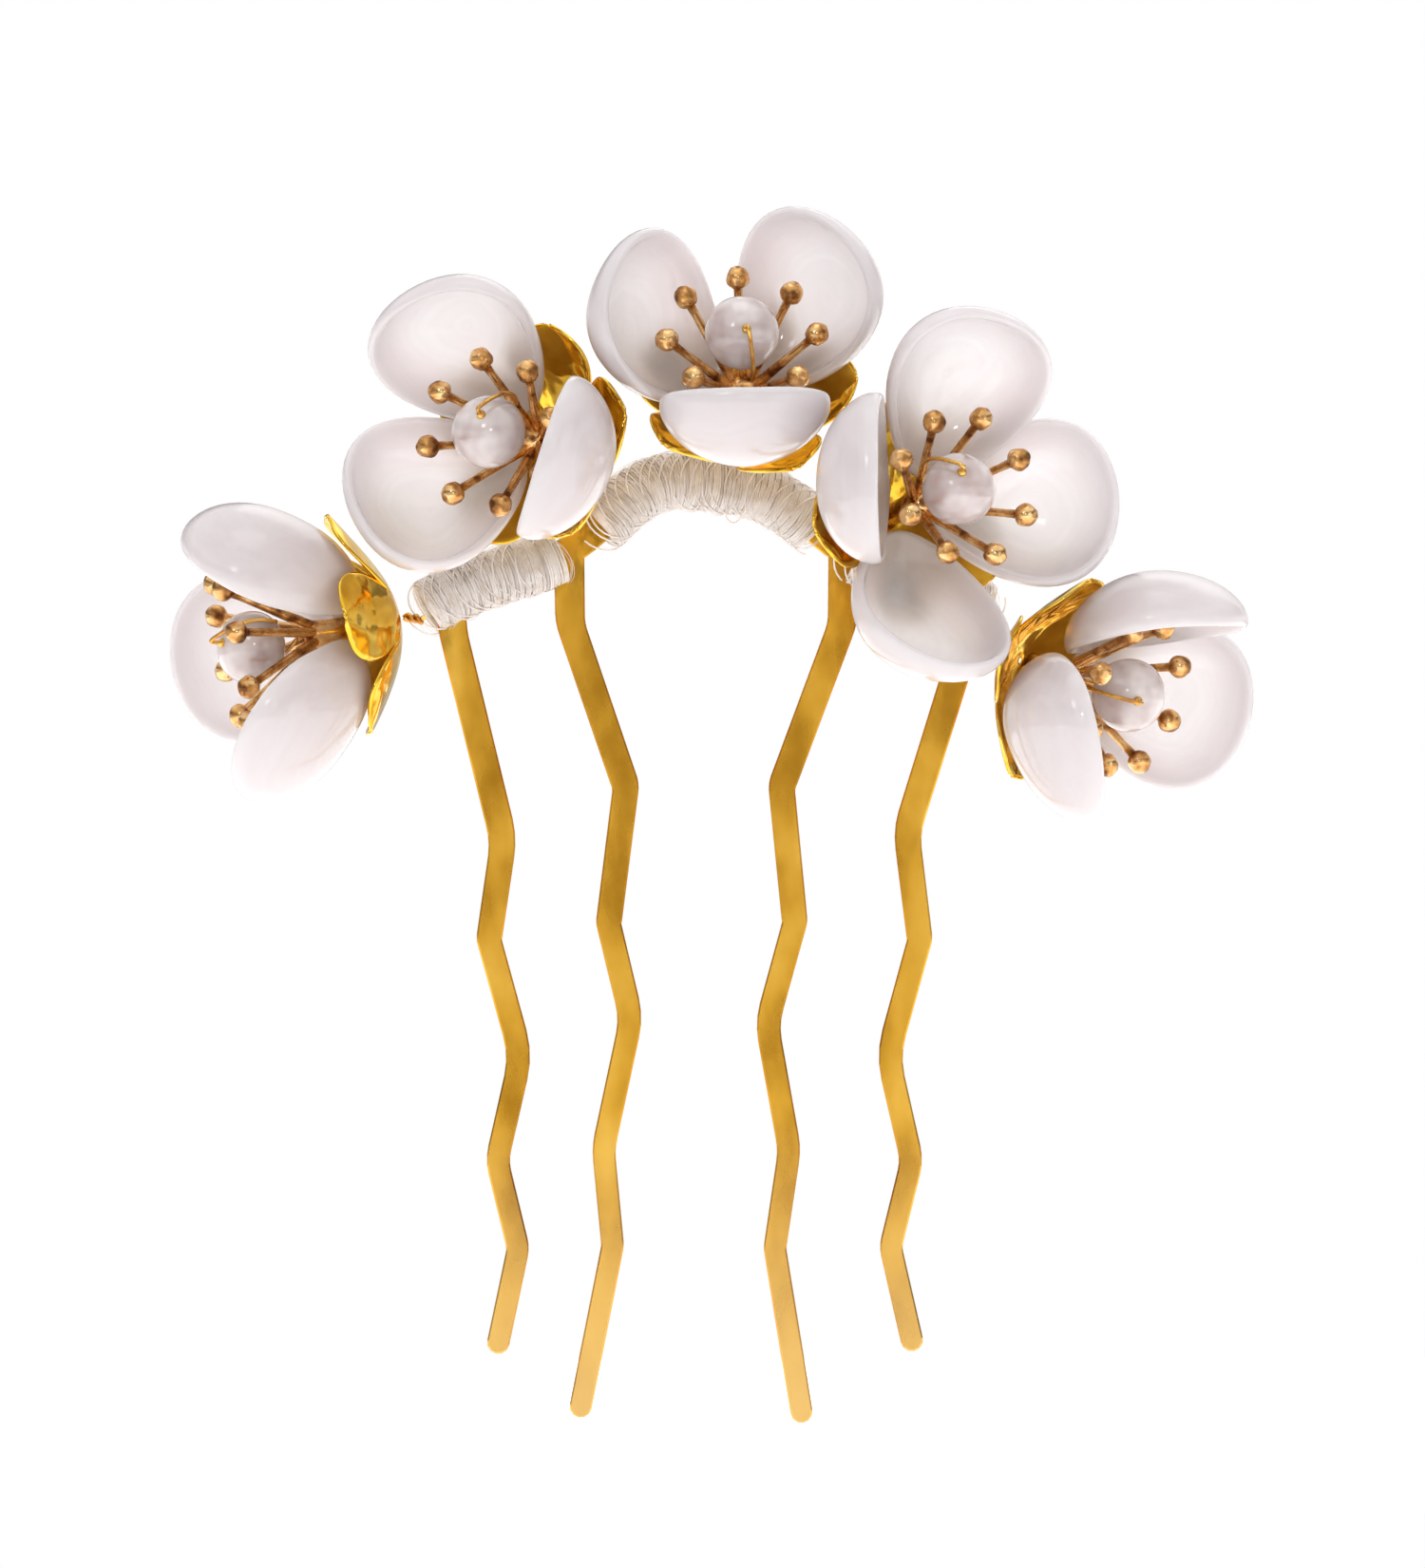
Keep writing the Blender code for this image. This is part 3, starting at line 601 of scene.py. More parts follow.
@dataclass(frozen=True)
class Finish:
    """A finish: its name and slot, with a method that makes its material."""

    name: str
    slot: Slot

    def material(self) -> bpy.types.Material:
        """Make the finish's material.

        Returns:
            The material, with its nodes joined to the output.
        """
        made = bpy.data.materials.new(self.name)
        made.use_nodes = True
        tree = made.node_tree
        shader = tree.nodes["Principled BSDF"]
        self.paint(tree, shader)
        return made

    def paint(self, tree: bpy.types.NodeTree, shader: bpy.types.Node) -> None:
        """Set the shader's sockets and join the patterns to them.

        Args:
            tree: The material's tree.
            shader: Its Principled BSDF.
        """
        raise NotImplementedError

    @staticmethod
    def noise(
        tree: bpy.types.NodeTree, grain_mm: float, stretch: tuple = (1, 1, 1), detail: float = 3.0
    ) -> bpy.types.NodeSocket:
        """Add grain of a real size on Object coordinates.

        Args:
            tree: The material's tree.
            grain_mm: The grain's size in millimetres.
            stretch: How many times finer the grain is along each axis.
            detail: How many finer layers it has.

        Returns:
            The grain's level, from 0 to 1.
        """
        place = add_node(tree, "ShaderNodeTexCoord").outputs["Object"]
        scaled = add_node(tree, "ShaderNodeMapping", {"Scale": stretch}, {"Vector": place})
        grain = add_node(tree, "ShaderNodeTexNoise", {"Scale": 1 / (grain_mm * MM), "Detail": detail}, {
            "Vector": scaled.outputs[0],
        })
        return grain.outputs[0]

    @staticmethod
    def ramp(
        tree: bpy.types.NodeTree, level: bpy.types.NodeSocket, stops: Sequence[tuple[float, str]]
    ) -> bpy.types.NodeSocket:
        """Add a colour ramp.

        Args:
            tree: The material's tree.
            level: What the ramp reads.
            stops: Places on the ramp with their hex colours.

        Returns:
            The ramp's colour.
        """
        node = add_node(tree, "ShaderNodeValToRGB", {}, {"Fac": level})
        elements = node.color_ramp.elements
        while len(elements) < len(stops):
            elements.new(1.0)
        for element, (place, code) in zip(elements, stops):
            element.position = place
            element.color = linear(code)
        return node.outputs[0]

    @staticmethod
    def level(
        tree: bpy.types.NodeTree, value: bpy.types.NodeSocket, span: tuple[float, float],
        result: tuple[float, float] = (0.0, 1.0),
    ) -> bpy.types.NodeSocket:
        """Map one span of values to another and hold it at its ends.

        Args:
            tree: The material's tree.
            value: What the map reads.
            span: The span that it reads from.
            result: The span that it gives.

        Returns:
            The mapped value.
        """
        node = add_node(tree, "ShaderNodeMapRange", {
            "From Min": span[0], "From Max": span[1], "To Min": result[0], "To Max": result[1],
        }, {"Value": value})
        return node.outputs[0]

    @staticmethod
    def mixed(
        tree: bpy.types.NodeTree, share: bpy.types.NodeSocket, first: bpy.types.NodeSocket | str,
        second: bpy.types.NodeSocket | str, way: str = "MIX",
    ) -> bpy.types.NodeSocket:
        """Mix two colours.

        Args:
            tree: The material's tree.
            share: How much of the second colour there is.
            first: A socket or a hex colour.
            second: A socket or a hex colour.
            way: How they mix.

        Returns:
            The mixed colour.
        """
        node = add_node(tree, "ShaderNodeMix", {"data_type": "RGBA", "blend_type": way}, {0: share})
        for slot, term in ((6, first), (7, second)):
            if isinstance(term, str):
                node.inputs[slot].default_value = linear(term)
            else:
                tree.links.new(term, node.inputs[slot])
        return node.outputs[2]

    @staticmethod
    def bump(
        tree: bpy.types.NodeTree, height: bpy.types.NodeSocket, depth_mm: float,
        under: bpy.types.NodeSocket | None = None,
    ) -> bpy.types.NodeSocket:
        """Add relief of a real depth.

        Args:
            tree: The material's tree.
            height: The relief's level, from 0 to 1.
            depth_mm: How deep it is, in millimetres.
            under: Relief that this one lies on.

        Returns:
            The surface's direction.
        """
        links = {"Height": height}
        if under is not None:
            links["Normal"] = under
        settings = {"Strength": 1.0, "Distance": depth_mm * MM}
        return add_node(tree, "ShaderNodeBump", settings, links).outputs[0]


@dataclass(frozen=True)
class StampedGoldPlate(Finish):
    """Gold-plated brass sheet, stamped and tumbled: satin, with painted shade in dark blotches under the
    winding.
    """

    gold: str = "#D6A236"
    light: str = "#EABC50"
    deep: str = "#AE7C1E"
    # painted shade: the colour, top and reach of the dark blotches under the winding
    shade_under_winding: str = "#4E380C"
    pale_tip: str = "#E6C07A"
    shade_under_winding_top_mm: float = 11.6
    shade_under_winding_reach_mm: float = 8.0
    shoulder_slope: float = 0.45
    tip_start_mm: float = -38.0
    tip_end_mm: float = -60.0

    def paint(self, tree: bpy.types.NodeTree, shader: bpy.types.Node) -> None:
        """Cloud the gold, paint shade in dark blotches under the winding and scratch it finely along the
        teeth.

        Args:
            tree: The material's tree.
            shader: Its Principled BSDF.
        """
        clouds = self.noise(tree, 5.0, (1, 1, 0.5))
        gold = self.ramp(tree, clouds, ((0.3, self.deep), (0.5, self.gold), (0.72, self.light)))
        place = add_node(tree, "ShaderNodeTexCoord").outputs["Object"]
        axes = add_node(tree, "ShaderNodeSeparateXYZ", {}, {"Vector": place}).outputs
        tips = self.level(tree, axes[2], (self.tip_start_mm * MM, self.tip_end_mm * MM), (0.0, 0.75))
        gold = self.mixed(tree, tips, gold, self.pale_tip)
        # painted shade: dark blotches on the shoulders just under the winding, standing in for its shadow
        # and dark reflections
        out = add_node(tree, "ShaderNodeMath", {"operation": "ABSOLUTE"}, {0: axes[0]})
        shoulder = add_node(tree, "ShaderNodeMath", {"operation": "MULTIPLY_ADD", 1: self.shoulder_slope}, {
            0: out.outputs[0], 2: axes[2],
        })
        bottom = self.shade_under_winding_top_mm - self.shade_under_winding_reach_mm
        near = self.level(tree, shoulder.outputs[0], (bottom * MM, self.shade_under_winding_top_mm * MM))
        blotches = self.level(tree, self.noise(tree, 1.3, (1, 1, 0.6), 4.0), (0.42, 0.62))
        shade_under_winding_share = add_node(tree, "ShaderNodeMath", {"operation": "MULTIPLY"}, {0: near, 1: blotches})
        tree.links.new(self.mixed(tree, shade_under_winding_share.outputs[0], gold, self.shade_under_winding), shader.inputs["Base Color"])
        rough = self.level(tree, clouds, (0.3, 0.7), (0.24, 0.36))
        tree.links.new(rough, shader.inputs["Roughness"])
        # 0.05 mm tumbling scratches drawn 0.15 mm apart, so that they show
        scratches = self.noise(tree, 0.15, (1, 1, 0.08), 2.0)
        tree.links.new(self.bump(tree, scratches, 0.006), shader.inputs["Normal"])
        shader.inputs["Metallic"].default_value = 1.0


@dataclass(frozen=True)
class PolishedGoldCap(Finish):
    """Gold-plated brass, pressed to spoons and polished: mirror bright, gently dented."""

    gold: str = "#F2C544"
    light: str = "#FBDA6C"
    deep: str = "#DFAC2E"

    def paint(self, tree: bpy.types.NodeTree, shader: bpy.types.Node) -> None:
        """Vary the plating a little and dent it as pressing leaves it.

        Args:
            tree: The material's tree.
            shader: Its Principled BSDF.
        """
        clouds = self.noise(tree, 3.5)
        tree.links.new(
            self.ramp(tree, clouds, ((0.3, self.deep), (0.52, self.gold), (0.75, self.light))),
            shader.inputs["Base Color"],
        )
        tree.links.new(self.level(tree, clouds, (0.3, 0.7), (0.08, 0.16)), shader.inputs["Roughness"])
        dents = self.bump(tree, self.noise(tree, 2.2, detail=1.0), 0.24)
        polish = self.bump(tree, self.noise(tree, 0.3, detail=2.0), 0.004, dents)
        tree.links.new(polish, shader.inputs["Normal"])
        shader.inputs["Metallic"].default_value = 1.0


@dataclass(frozen=True)
class AntiqueGoldCasting(Finish):
    """Rose brass, lost-wax cast and darkened: soft shine, dark in the pits."""

    brass: str = "#D29C5C"
    light: str = "#F2CC92"
    dark: str = "#74492A"

    def paint(self, tree: bpy.types.NodeTree, shader: bpy.types.Node) -> None:
        """Darken the pits of the casting and leave its high spots bright.

        Args:
            tree: The material's tree.
            shader: Its Principled BSDF.
        """
        pits = self.noise(tree, 1.3, detail=2.0)
        tree.links.new(
            self.ramp(tree, pits, ((0.32, self.dark), (0.46, self.brass), (0.66, self.light))),
            shader.inputs["Base Color"],
        )
        tree.links.new(self.level(tree, pits, (0.35, 0.6), (0.38, 0.2)), shader.inputs["Roughness"])
        tree.links.new(self.bump(tree, pits, 0.05), shader.inputs["Normal"])
        shader.inputs["Metallic"].default_value = 1.0


@dataclass(frozen=True)
class DrawnGoldWire(Finish):
    """Gold-plated copper wire, drawn through a die: bright, with fine drawing lines."""

    gold: str = "#E3B660"
    copper: str = "#C98F4C"

    def paint(self, tree: bpy.types.NodeTree, shader: bpy.types.Node) -> None:
        """Let a little copper through the plating.

        Args:
            tree: The material's tree.
            shader: Its Principled BSDF.
        """
        wear = self.noise(tree, 1.2, detail=2.0)
        tree.links.new(
            self.ramp(tree, wear, ((0.35, self.copper), (0.55, self.gold))), shader.inputs["Base Color"],
        )
        tree.links.new(self.level(tree, wear, (0.3, 0.7), (0.32, 0.2)), shader.inputs["Roughness"])
        tree.links.new(self.bump(tree, self.noise(tree, 0.12), 0.004), shader.inputs["Normal"])
        shader.inputs["Metallic"].default_value = 1.0


@dataclass(frozen=True)
class MilkyShellPetal(Finish):
    """Milky shell, ground to a thin bowl and polished: cloudy, lit from within, faintly banded."""

    # painted light and shade: the hollow is painted brighter against the shade in the bowl, the back greyer
    # as painted shade, and both warmer at the foot as painted glow of the gold cap
    hollow: tuple = ((0.0, "#EEE0D6"), (0.4, "#F7F0EF"), (0.9, "#FCFAFC"))
    back: tuple = ((0.0, "#C4B2A4"), (0.4, "#C8BFBD"), (0.9, "#CFC8CA"))
    band: str = "#FCFBFB"
    clearness: float = 0.15
    layer_name: str = "petal_map"

    def paint(self, tree: bpy.types.NodeTree, shader: bpy.types.Node) -> None:
        """Warm the foot with painted glow of the gold cap, whiten the tip, grey the back as painted shade,
        brighten the hollow as painted light, band it faintly and gloss its skin.

        The map runs from foot to tip in U. V is 0 at the back's middle, 1 at the rim and 2 in
        the hollow's middle.

        Args:
            tree: The material's tree.
            shader: Its Principled BSDF.
        """
        chart = add_node(tree, "ShaderNodeUVMap", {"uv_map": self.layer_name}).outputs[0]
        axes = add_node(tree, "ShaderNodeSeparateXYZ", {}, {"Vector": chart}).outputs
        cloud = self.noise(tree, 4.0, detail=2.0)
        # painted shade on the back and painted light in the hollow, blended across the rim
        side = self.level(tree, axes[1], (0.95, 1.5))
        back = self.ramp(tree, axes[0], self.back)
        milk_and_painted_shade = self.mixed(tree, side, back, self.ramp(tree, axes[0], self.hollow))
        # growth lines about 0.6 mm apart across a 6 mm bowl, bent by the clouds
        bent = add_node(tree, "ShaderNodeMath", {"operation": "MULTIPLY_ADD", 1: 0.35}, {
            0: cloud, 2: axes[1],
        })
        rows = add_node(tree, "ShaderNodeCombineXYZ", {}, {"X": bent.outputs[0]})
        lines = add_node(tree, "ShaderNodeTexNoise", {"Scale": 11.0, "Detail": 2.0}, {
            "Vector": rows.outputs[0],
        })
        bands = self.ramp(tree, lines.outputs[0], ((0.35, self.band), (0.6, "#FFFFFF")))
        whole = add_node(tree, "ShaderNodeValue")
        whole.outputs[0].default_value = 1.0
        banded = self.mixed(tree, whole.outputs[0], milk_and_painted_shade, bands, "MULTIPLY")
        tree.links.new(banded, shader.inputs["Base Color"])
        tree.links.new(self.level(tree, cloud, (0.3, 0.7), (0.3, 0.4)), shader.inputs["Roughness"])
        tree.links.new(self.bump(tree, cloud, 0.06), shader.inputs["Normal"])
        shader.inputs["IOR"].default_value = 1.53
        shader.inputs["Transmission Weight"].default_value = self.clearness
        shader.inputs["Subsurface Weight"].default_value = 1.0
        shader.inputs["Subsurface Radius"].default_value = (1.0, 0.95, 0.96)
        shader.inputs["Subsurface Scale"].default_value = 4.0 * MM
        shader.inputs["Coat Weight"].default_value = 0.8
        shader.inputs["Coat Roughness"].default_value = 0.05


@dataclass(frozen=True)
class FreshwaterPearl(Finish):
    """Freshwater pearl, drilled: nacre with a satin glow under a clear skin."""

    nacre: str = "#C8BCBA"
    rose: str = "#B39E99"
    cream: str = "#DBD3CF"

    def paint(self, tree: bpy.types.NodeTree, shader: bpy.types.Node) -> None:
        """Cloud the nacre with rose and cream and ripple it.

        Args:
            tree: The material's tree.
            shader: Its Principled BSDF.
        """
        cloud = self.noise(tree, 2.6, detail=2.0)
        tree.links.new(
            self.ramp(tree, cloud, ((0.32, self.rose), (0.5, self.nacre), (0.68, self.cream))),
            shader.inputs["Base Color"],
        )
        tree.links.new(self.level(tree, cloud, (0.3, 0.7), (0.16, 0.26)), shader.inputs["Roughness"])
        tree.links.new(self.bump(tree, self.noise(tree, 1.1, detail=2.0), 0.05), shader.inputs["Normal"])
        shader.inputs["IOR"].default_value = 1.6
        shader.inputs["Subsurface Weight"].default_value = 0.35
        shader.inputs["Subsurface Radius"].default_value = (1.0, 0.85, 0.8)
        shader.inputs["Subsurface Scale"].default_value = 0.8 * MM
        shader.inputs["Coat Weight"].default_value = 1.0
        shader.inputs["Coat Roughness"].default_value = 0.08
        shader.inputs["Sheen Weight"].default_value = 0.15


@dataclass(frozen=True)
class SpunThread(Finish):
    """White silk floss, loosely spun: soft sheen, cream in random patches."""

    white: str = "#ECE4DF"
    cream: str = "#D9CBBE"

    def paint(self, tree: bpy.types.NodeTree, shader: bpy.types.Node) -> None:
        """Cloud the floss with cream and roughen it by its filaments.

        Args:
            tree: The material's tree.
            shader: Its Principled BSDF.
        """
        cream_patches = self.noise(tree, 0.9, detail=3.0)
        tree.links.new(
            self.ramp(tree, cream_patches, ((0.3, self.cream), (0.52, self.white))), shader.inputs["Base Color"],
        )
        # filaments of 0.02 mm drawn 0.08 mm wide, so that they show
        tree.links.new(self.bump(tree, self.noise(tree, 0.08), 0.02), shader.inputs["Normal"])
        shader.inputs["Roughness"].default_value = 0.62
        shader.inputs["Sheen Weight"].default_value = 0.5
        shader.inputs["Subsurface Weight"].default_value = 0.4
        shader.inputs["Subsurface Radius"].default_value = (1.0, 0.95, 0.9)
        shader.inputs["Subsurface Scale"].default_value = 0.5 * MM


@dataclass(frozen=True)
class StageFinish(Finish):
    """Matt white paint on the table under the pin."""

    white: str = "#F7F7F6"

    def paint(self, tree: bpy.types.NodeTree, shader: bpy.types.Node) -> None:
        """Roughen a plain white and let it glow enough to stay pale in its own shade.

        Args:
            tree: The material's tree.
            shader: Its Principled BSDF.
        """
        grain = self.noise(tree, 30.0, detail=1.0)
        tree.links.new(
            self.ramp(tree, grain, ((0.0, self.white), (1.0, "#FBFBFA"))), shader.inputs["Base Color"],
        )
        shader.inputs["Roughness"].default_value = 0.9
        shader.inputs["Emission Color"].default_value = linear("#FFFFFF")
        shader.inputs["Emission Strength"].default_value = 0.45


# ------------------------------------------------------------------ comb and winding


@dataclass
class Comb:
    """The stamped comb, which keeps its CAD shape."""

    node: str = "comb"

    def dress(self, frame: dict, finish: Finish) -> None:
        """Give the comb its plating.

        Args:
            finish: The comb's finish.
        """
        piece = frame["nodes"][self.node]
        material = finish.material()
        for place in range(len(piece.data.materials)):
            piece.data.materials[place] = material
        LOG.info("%s keeps its CAD shape, dressed in %s", self.node, finish.name)


@dataclass
class ThreadWinding:
    """Floss wound on the spine in three stretches, with crossing turns and loose fibres."""

    body: str = "comb_frame"
    stretches: dict = field(default_factory=lambda: {
        "wrap_left": (0.034, 0.262),
        "wrap_centre": (0.318, 0.69),
        "wrap_right": (0.745, 0.966),
    })
    core_radius: float = 1.98 * MM
    wound_radius: float = 2.06 * MM
    strand_radius: float = 0.085 * MM
    pitch: float = 0.14 * MM
    slant: float = 0.55 * MM
    cross_pitch: float = 0.8 * MM
    cross_slant: float = 1.7 * MM
    cross_radius: float = 0.07 * MM
    cross_wander: float = 1.6 * MM
    wander: float = 0.5 * MM
    fibre_radius: float = 0.02 * MM
    fibre_pitch: float = 2.4 * MM
    fibre_slant: float = 1.9 * MM
    fibre_wander: float = 3.0 * MM
    fibre_lump: float = 0.9 * MM
    fibre_lump_length: float = 1.1 * MM
    fibre_layers: int = 3
    lump: float = 0.42 * MM
    lump_length: float = 1.8 * MM
    loop_radius: float = 0.07 * MM
    end_margin: float = 0.012
    steps: int = 40

    def build(self, coil: CoilTree, material: bpy.types.Material) -> None:
        """Wind each stretch.

        Args:
            coil: The tree that winds a strand round a line.
            material: The floss.
        """
        spine = spine_path()
        for number, (name, (first, last)) in enumerate(self.stretches.items()):
            inner = (first + self.end_margin, last - self.end_margin)
            line = self.stretch(spine, inner)
            length = path_length(line)
            meshes = [
                tube_mesh(name, line, self.core_radius, 6),
                self.layer(coil, line, length, material, number, True),
                self.layer(coil, line, length, material, number + 5, False),
            ]
            for layer in range(self.fibre_layers):
                meshes.append(self.fibres(coil, line, length, material, 4 * number + layer))
            if name == "wrap_centre":
                meshes.append(self.loose_loop(line))
            finish_piece(name + "_floss", meshes, material, self.body, [name])

    def stretch(self, spine: list[Vector], shares: tuple[float, float]) -> list[Vector]:
        """Read a stretch of the spine in even steps.

        Args:
            spine: The whole spine.
            shares: Where the stretch starts and ends on it, from 0 to 1.

        Returns:
            The stretch's places.
        """
        first, last = shares
        step = (last - first) / self.steps
        return [share_of_path(spine, first + step * k) for k in range(self.steps + 1)]

    def layer(
        self, coil: CoilTree, line: list[Vector], length: float, material: bpy.types.Material,
        seed: int, close: bool,
    ) -> bpy.types.Mesh:
        """Wind one layer, either close turns or open crossing ones.

        Args:
            coil: The tree that winds a strand.
            line: The line that it follows.
            length: That line's length.
            material: The floss.
            seed: What makes this layer's lumps its own.
            close: Whether the turns lie side by side.

        Returns:
            The layer's mesh.
        """
        way = {
            "Turns": length / self.pitch, "Coil_radius": self.wound_radius,
            "Strand_radius": self.strand_radius, "Slant": self.slant, "Wander": self.wander,
        } if close else {
            "Turns": length / self.cross_pitch, "Coil_radius": self.wound_radius + self.strand_radius,
            "Strand_radius": self.cross_radius, "Slant": -self.cross_slant,
            "Wander": self.cross_wander,
        }
        return coil.run(
            line_object("thread_line", line), Points_a_turn=26, Strand_sides=6, Lump_height=self.lump,
            Length_in_lumps=length / self.lump_length, Seed=float(seed), Material=material, **way,
        )

    def fibres(
        self, coil: CoilTree, line: list[Vector], length: float, material: bpy.types.Material, seed: int
    ) -> bpy.types.Mesh:
        """Wind one loose filament that stands off the floss.

        Args:
            coil: The tree that winds a strand.
            line: The line that it follows.
            length: That line's length.
            material: The floss.
            seed: What makes this filament's wandering its own.

        Returns:
            The filament's mesh.
        """
        return coil.run(
            line_object("fibre_line", line), Turns=length / self.fibre_pitch, Points_a_turn=30,
            Coil_radius=self.wound_radius + 2.2 * self.strand_radius, Strand_radius=self.fibre_radius,
            Strand_sides=4, Slant=self.fibre_slant, Wander=self.fibre_wander,
            Lump_height=self.fibre_lump, Length_in_lumps=length / self.fibre_lump_length,
            Seed=float(seed + 20), Material=material,
        )

    def loose_loop(self, line: list[Vector]) -> bpy.types.Mesh:
        """Bend the small slack loop that hangs under the middle stretch.

        Args:
            line: The middle stretch.

        Returns:
            The loop's mesh.
        """
        top = share_of_path(line, 0.62) - Vector((0, 1.2, 1.1)) * MM
        places = []
        for k in range(15):
            turn = math.radians(200 + 320 * k / 14)
            spot = Vector((0.6 * math.cos(turn), -0.15 * k / 14, 0.75 * math.sin(turn) - 0.9))
            places.append(top + spot * MM)
        end = top + Vector((0.7, 0, 0.3)) * MM
        return tube_mesh("loose_loop", [top, *places, end], self.loop_radius, 1)


# ------------------------------------------------------------------ blossoms


@dataclass
class Sepals:
    """The pressed gold cap under a flower: a cup with five spoon-shaped lobes."""

    hole_radius: float = 0.15 * MM
    cup_radius: float = 2.2 * MM
    dish: float = 0.35 * MM
    length: float = 7.5 * MM
    half_width: float = 3.5 * MM
    bend: float = 1.3
    cup: float = 0.75 * MM
    ridge: float = 0.16 * MM
    lip: float = 0.2 * MM
    sheet: float = 0.3 * MM
    rows: int = 18
    columns: int = 12

    def mesh(self, rises: Sequence[float]) -> bpy.types.Mesh:
        """Press the lobes round the cup and thicken the sheet.

        Args:
            rises: How far each lobe's tip stands above the cup.

        Returns:
            The cap's mesh, on its own axes.
        """
        sector = 2 * math.pi / len(rises)
        work = bmesh.new()
        for lobe, rise in enumerate(rises):
            middle = Matrix.Rotation(lobe * sector, 3, "Z")
            rows = []
            for radius in (self.hole_radius, 0.5 * self.cup_radius, self.cup_radius):
                row = []
                for column in range(self.columns + 1):
                    angle = sector * (column / self.columns - 0.5)
                    height = self.dish * (radius / self.cup_radius) ** 2
                    place = Vector((radius * math.cos(angle), radius * math.sin(angle), height))
                    row.append(work.verts.new(middle @ place))
                rows.append(row)
            for step in range(1, self.rows + 1):
                places = self.lobe_row(step / self.rows, rise, sector / 2)
                rows.append([work.verts.new(middle @ place) for place in places])
            for inner, outer in zip(rows, rows[1:]):
                for k in range(self.columns):
                    work.faces.new((inner[k], outer[k], outer[k + 1], inner[k + 1]))
        sheet = new_mesh_object("sepals", mesh_of(work, "sepals", 0.01 * MM))
        shell = sheet.modifiers.new("sheet", "SOLIDIFY")
        shell.thickness = self.sheet
        shell.offset = 0
        soft = sheet.modifiers.new("soft_edge", "SUBSURF")
        soft.levels = 1
        soft.render_levels = 1
        return applied(sheet)

    def lobe_row(self, share: float, rise: float, half_sector: float) -> list[Vector]:
        """Place the points across a lobe, at a share of the way to its tip.

        Args:
            share: From 0 at the cup to 1 at the tip.
            rise: How far the tip stands above the cup.
            half_sector: Half the angle that a lobe has round the cup.

        Returns:
            The places, from one side to the other.
        """
        outward = math.sin(share * math.pi / 2)
        radius = self.cup_radius + math.sqrt(self.length ** 2 - rise ** 2) * outward
        swell = math.sin(math.pi * share ** 0.8) ** 0.75 if share < 1 else 0.0
        neck = self.cup_radius * math.sin(half_sector) * (1 - share)
        half = max(neck + self.half_width * swell * (0.62 + 0.38 * share), 0.12 * self.half_width)
        row = []
        for column in range(self.columns + 1):
            across = 2 * column / self.columns - 1
            height = self.dish + rise * outward ** self.bend + self.cup * swell * across ** 2
            height += swell * (self.ridge * math.exp(-(across / 0.22) ** 2) - self.lip * across ** 8)
            row.append(Vector((radius - 0.3 * half * across ** 2 * share, half * across, height)))
        return row


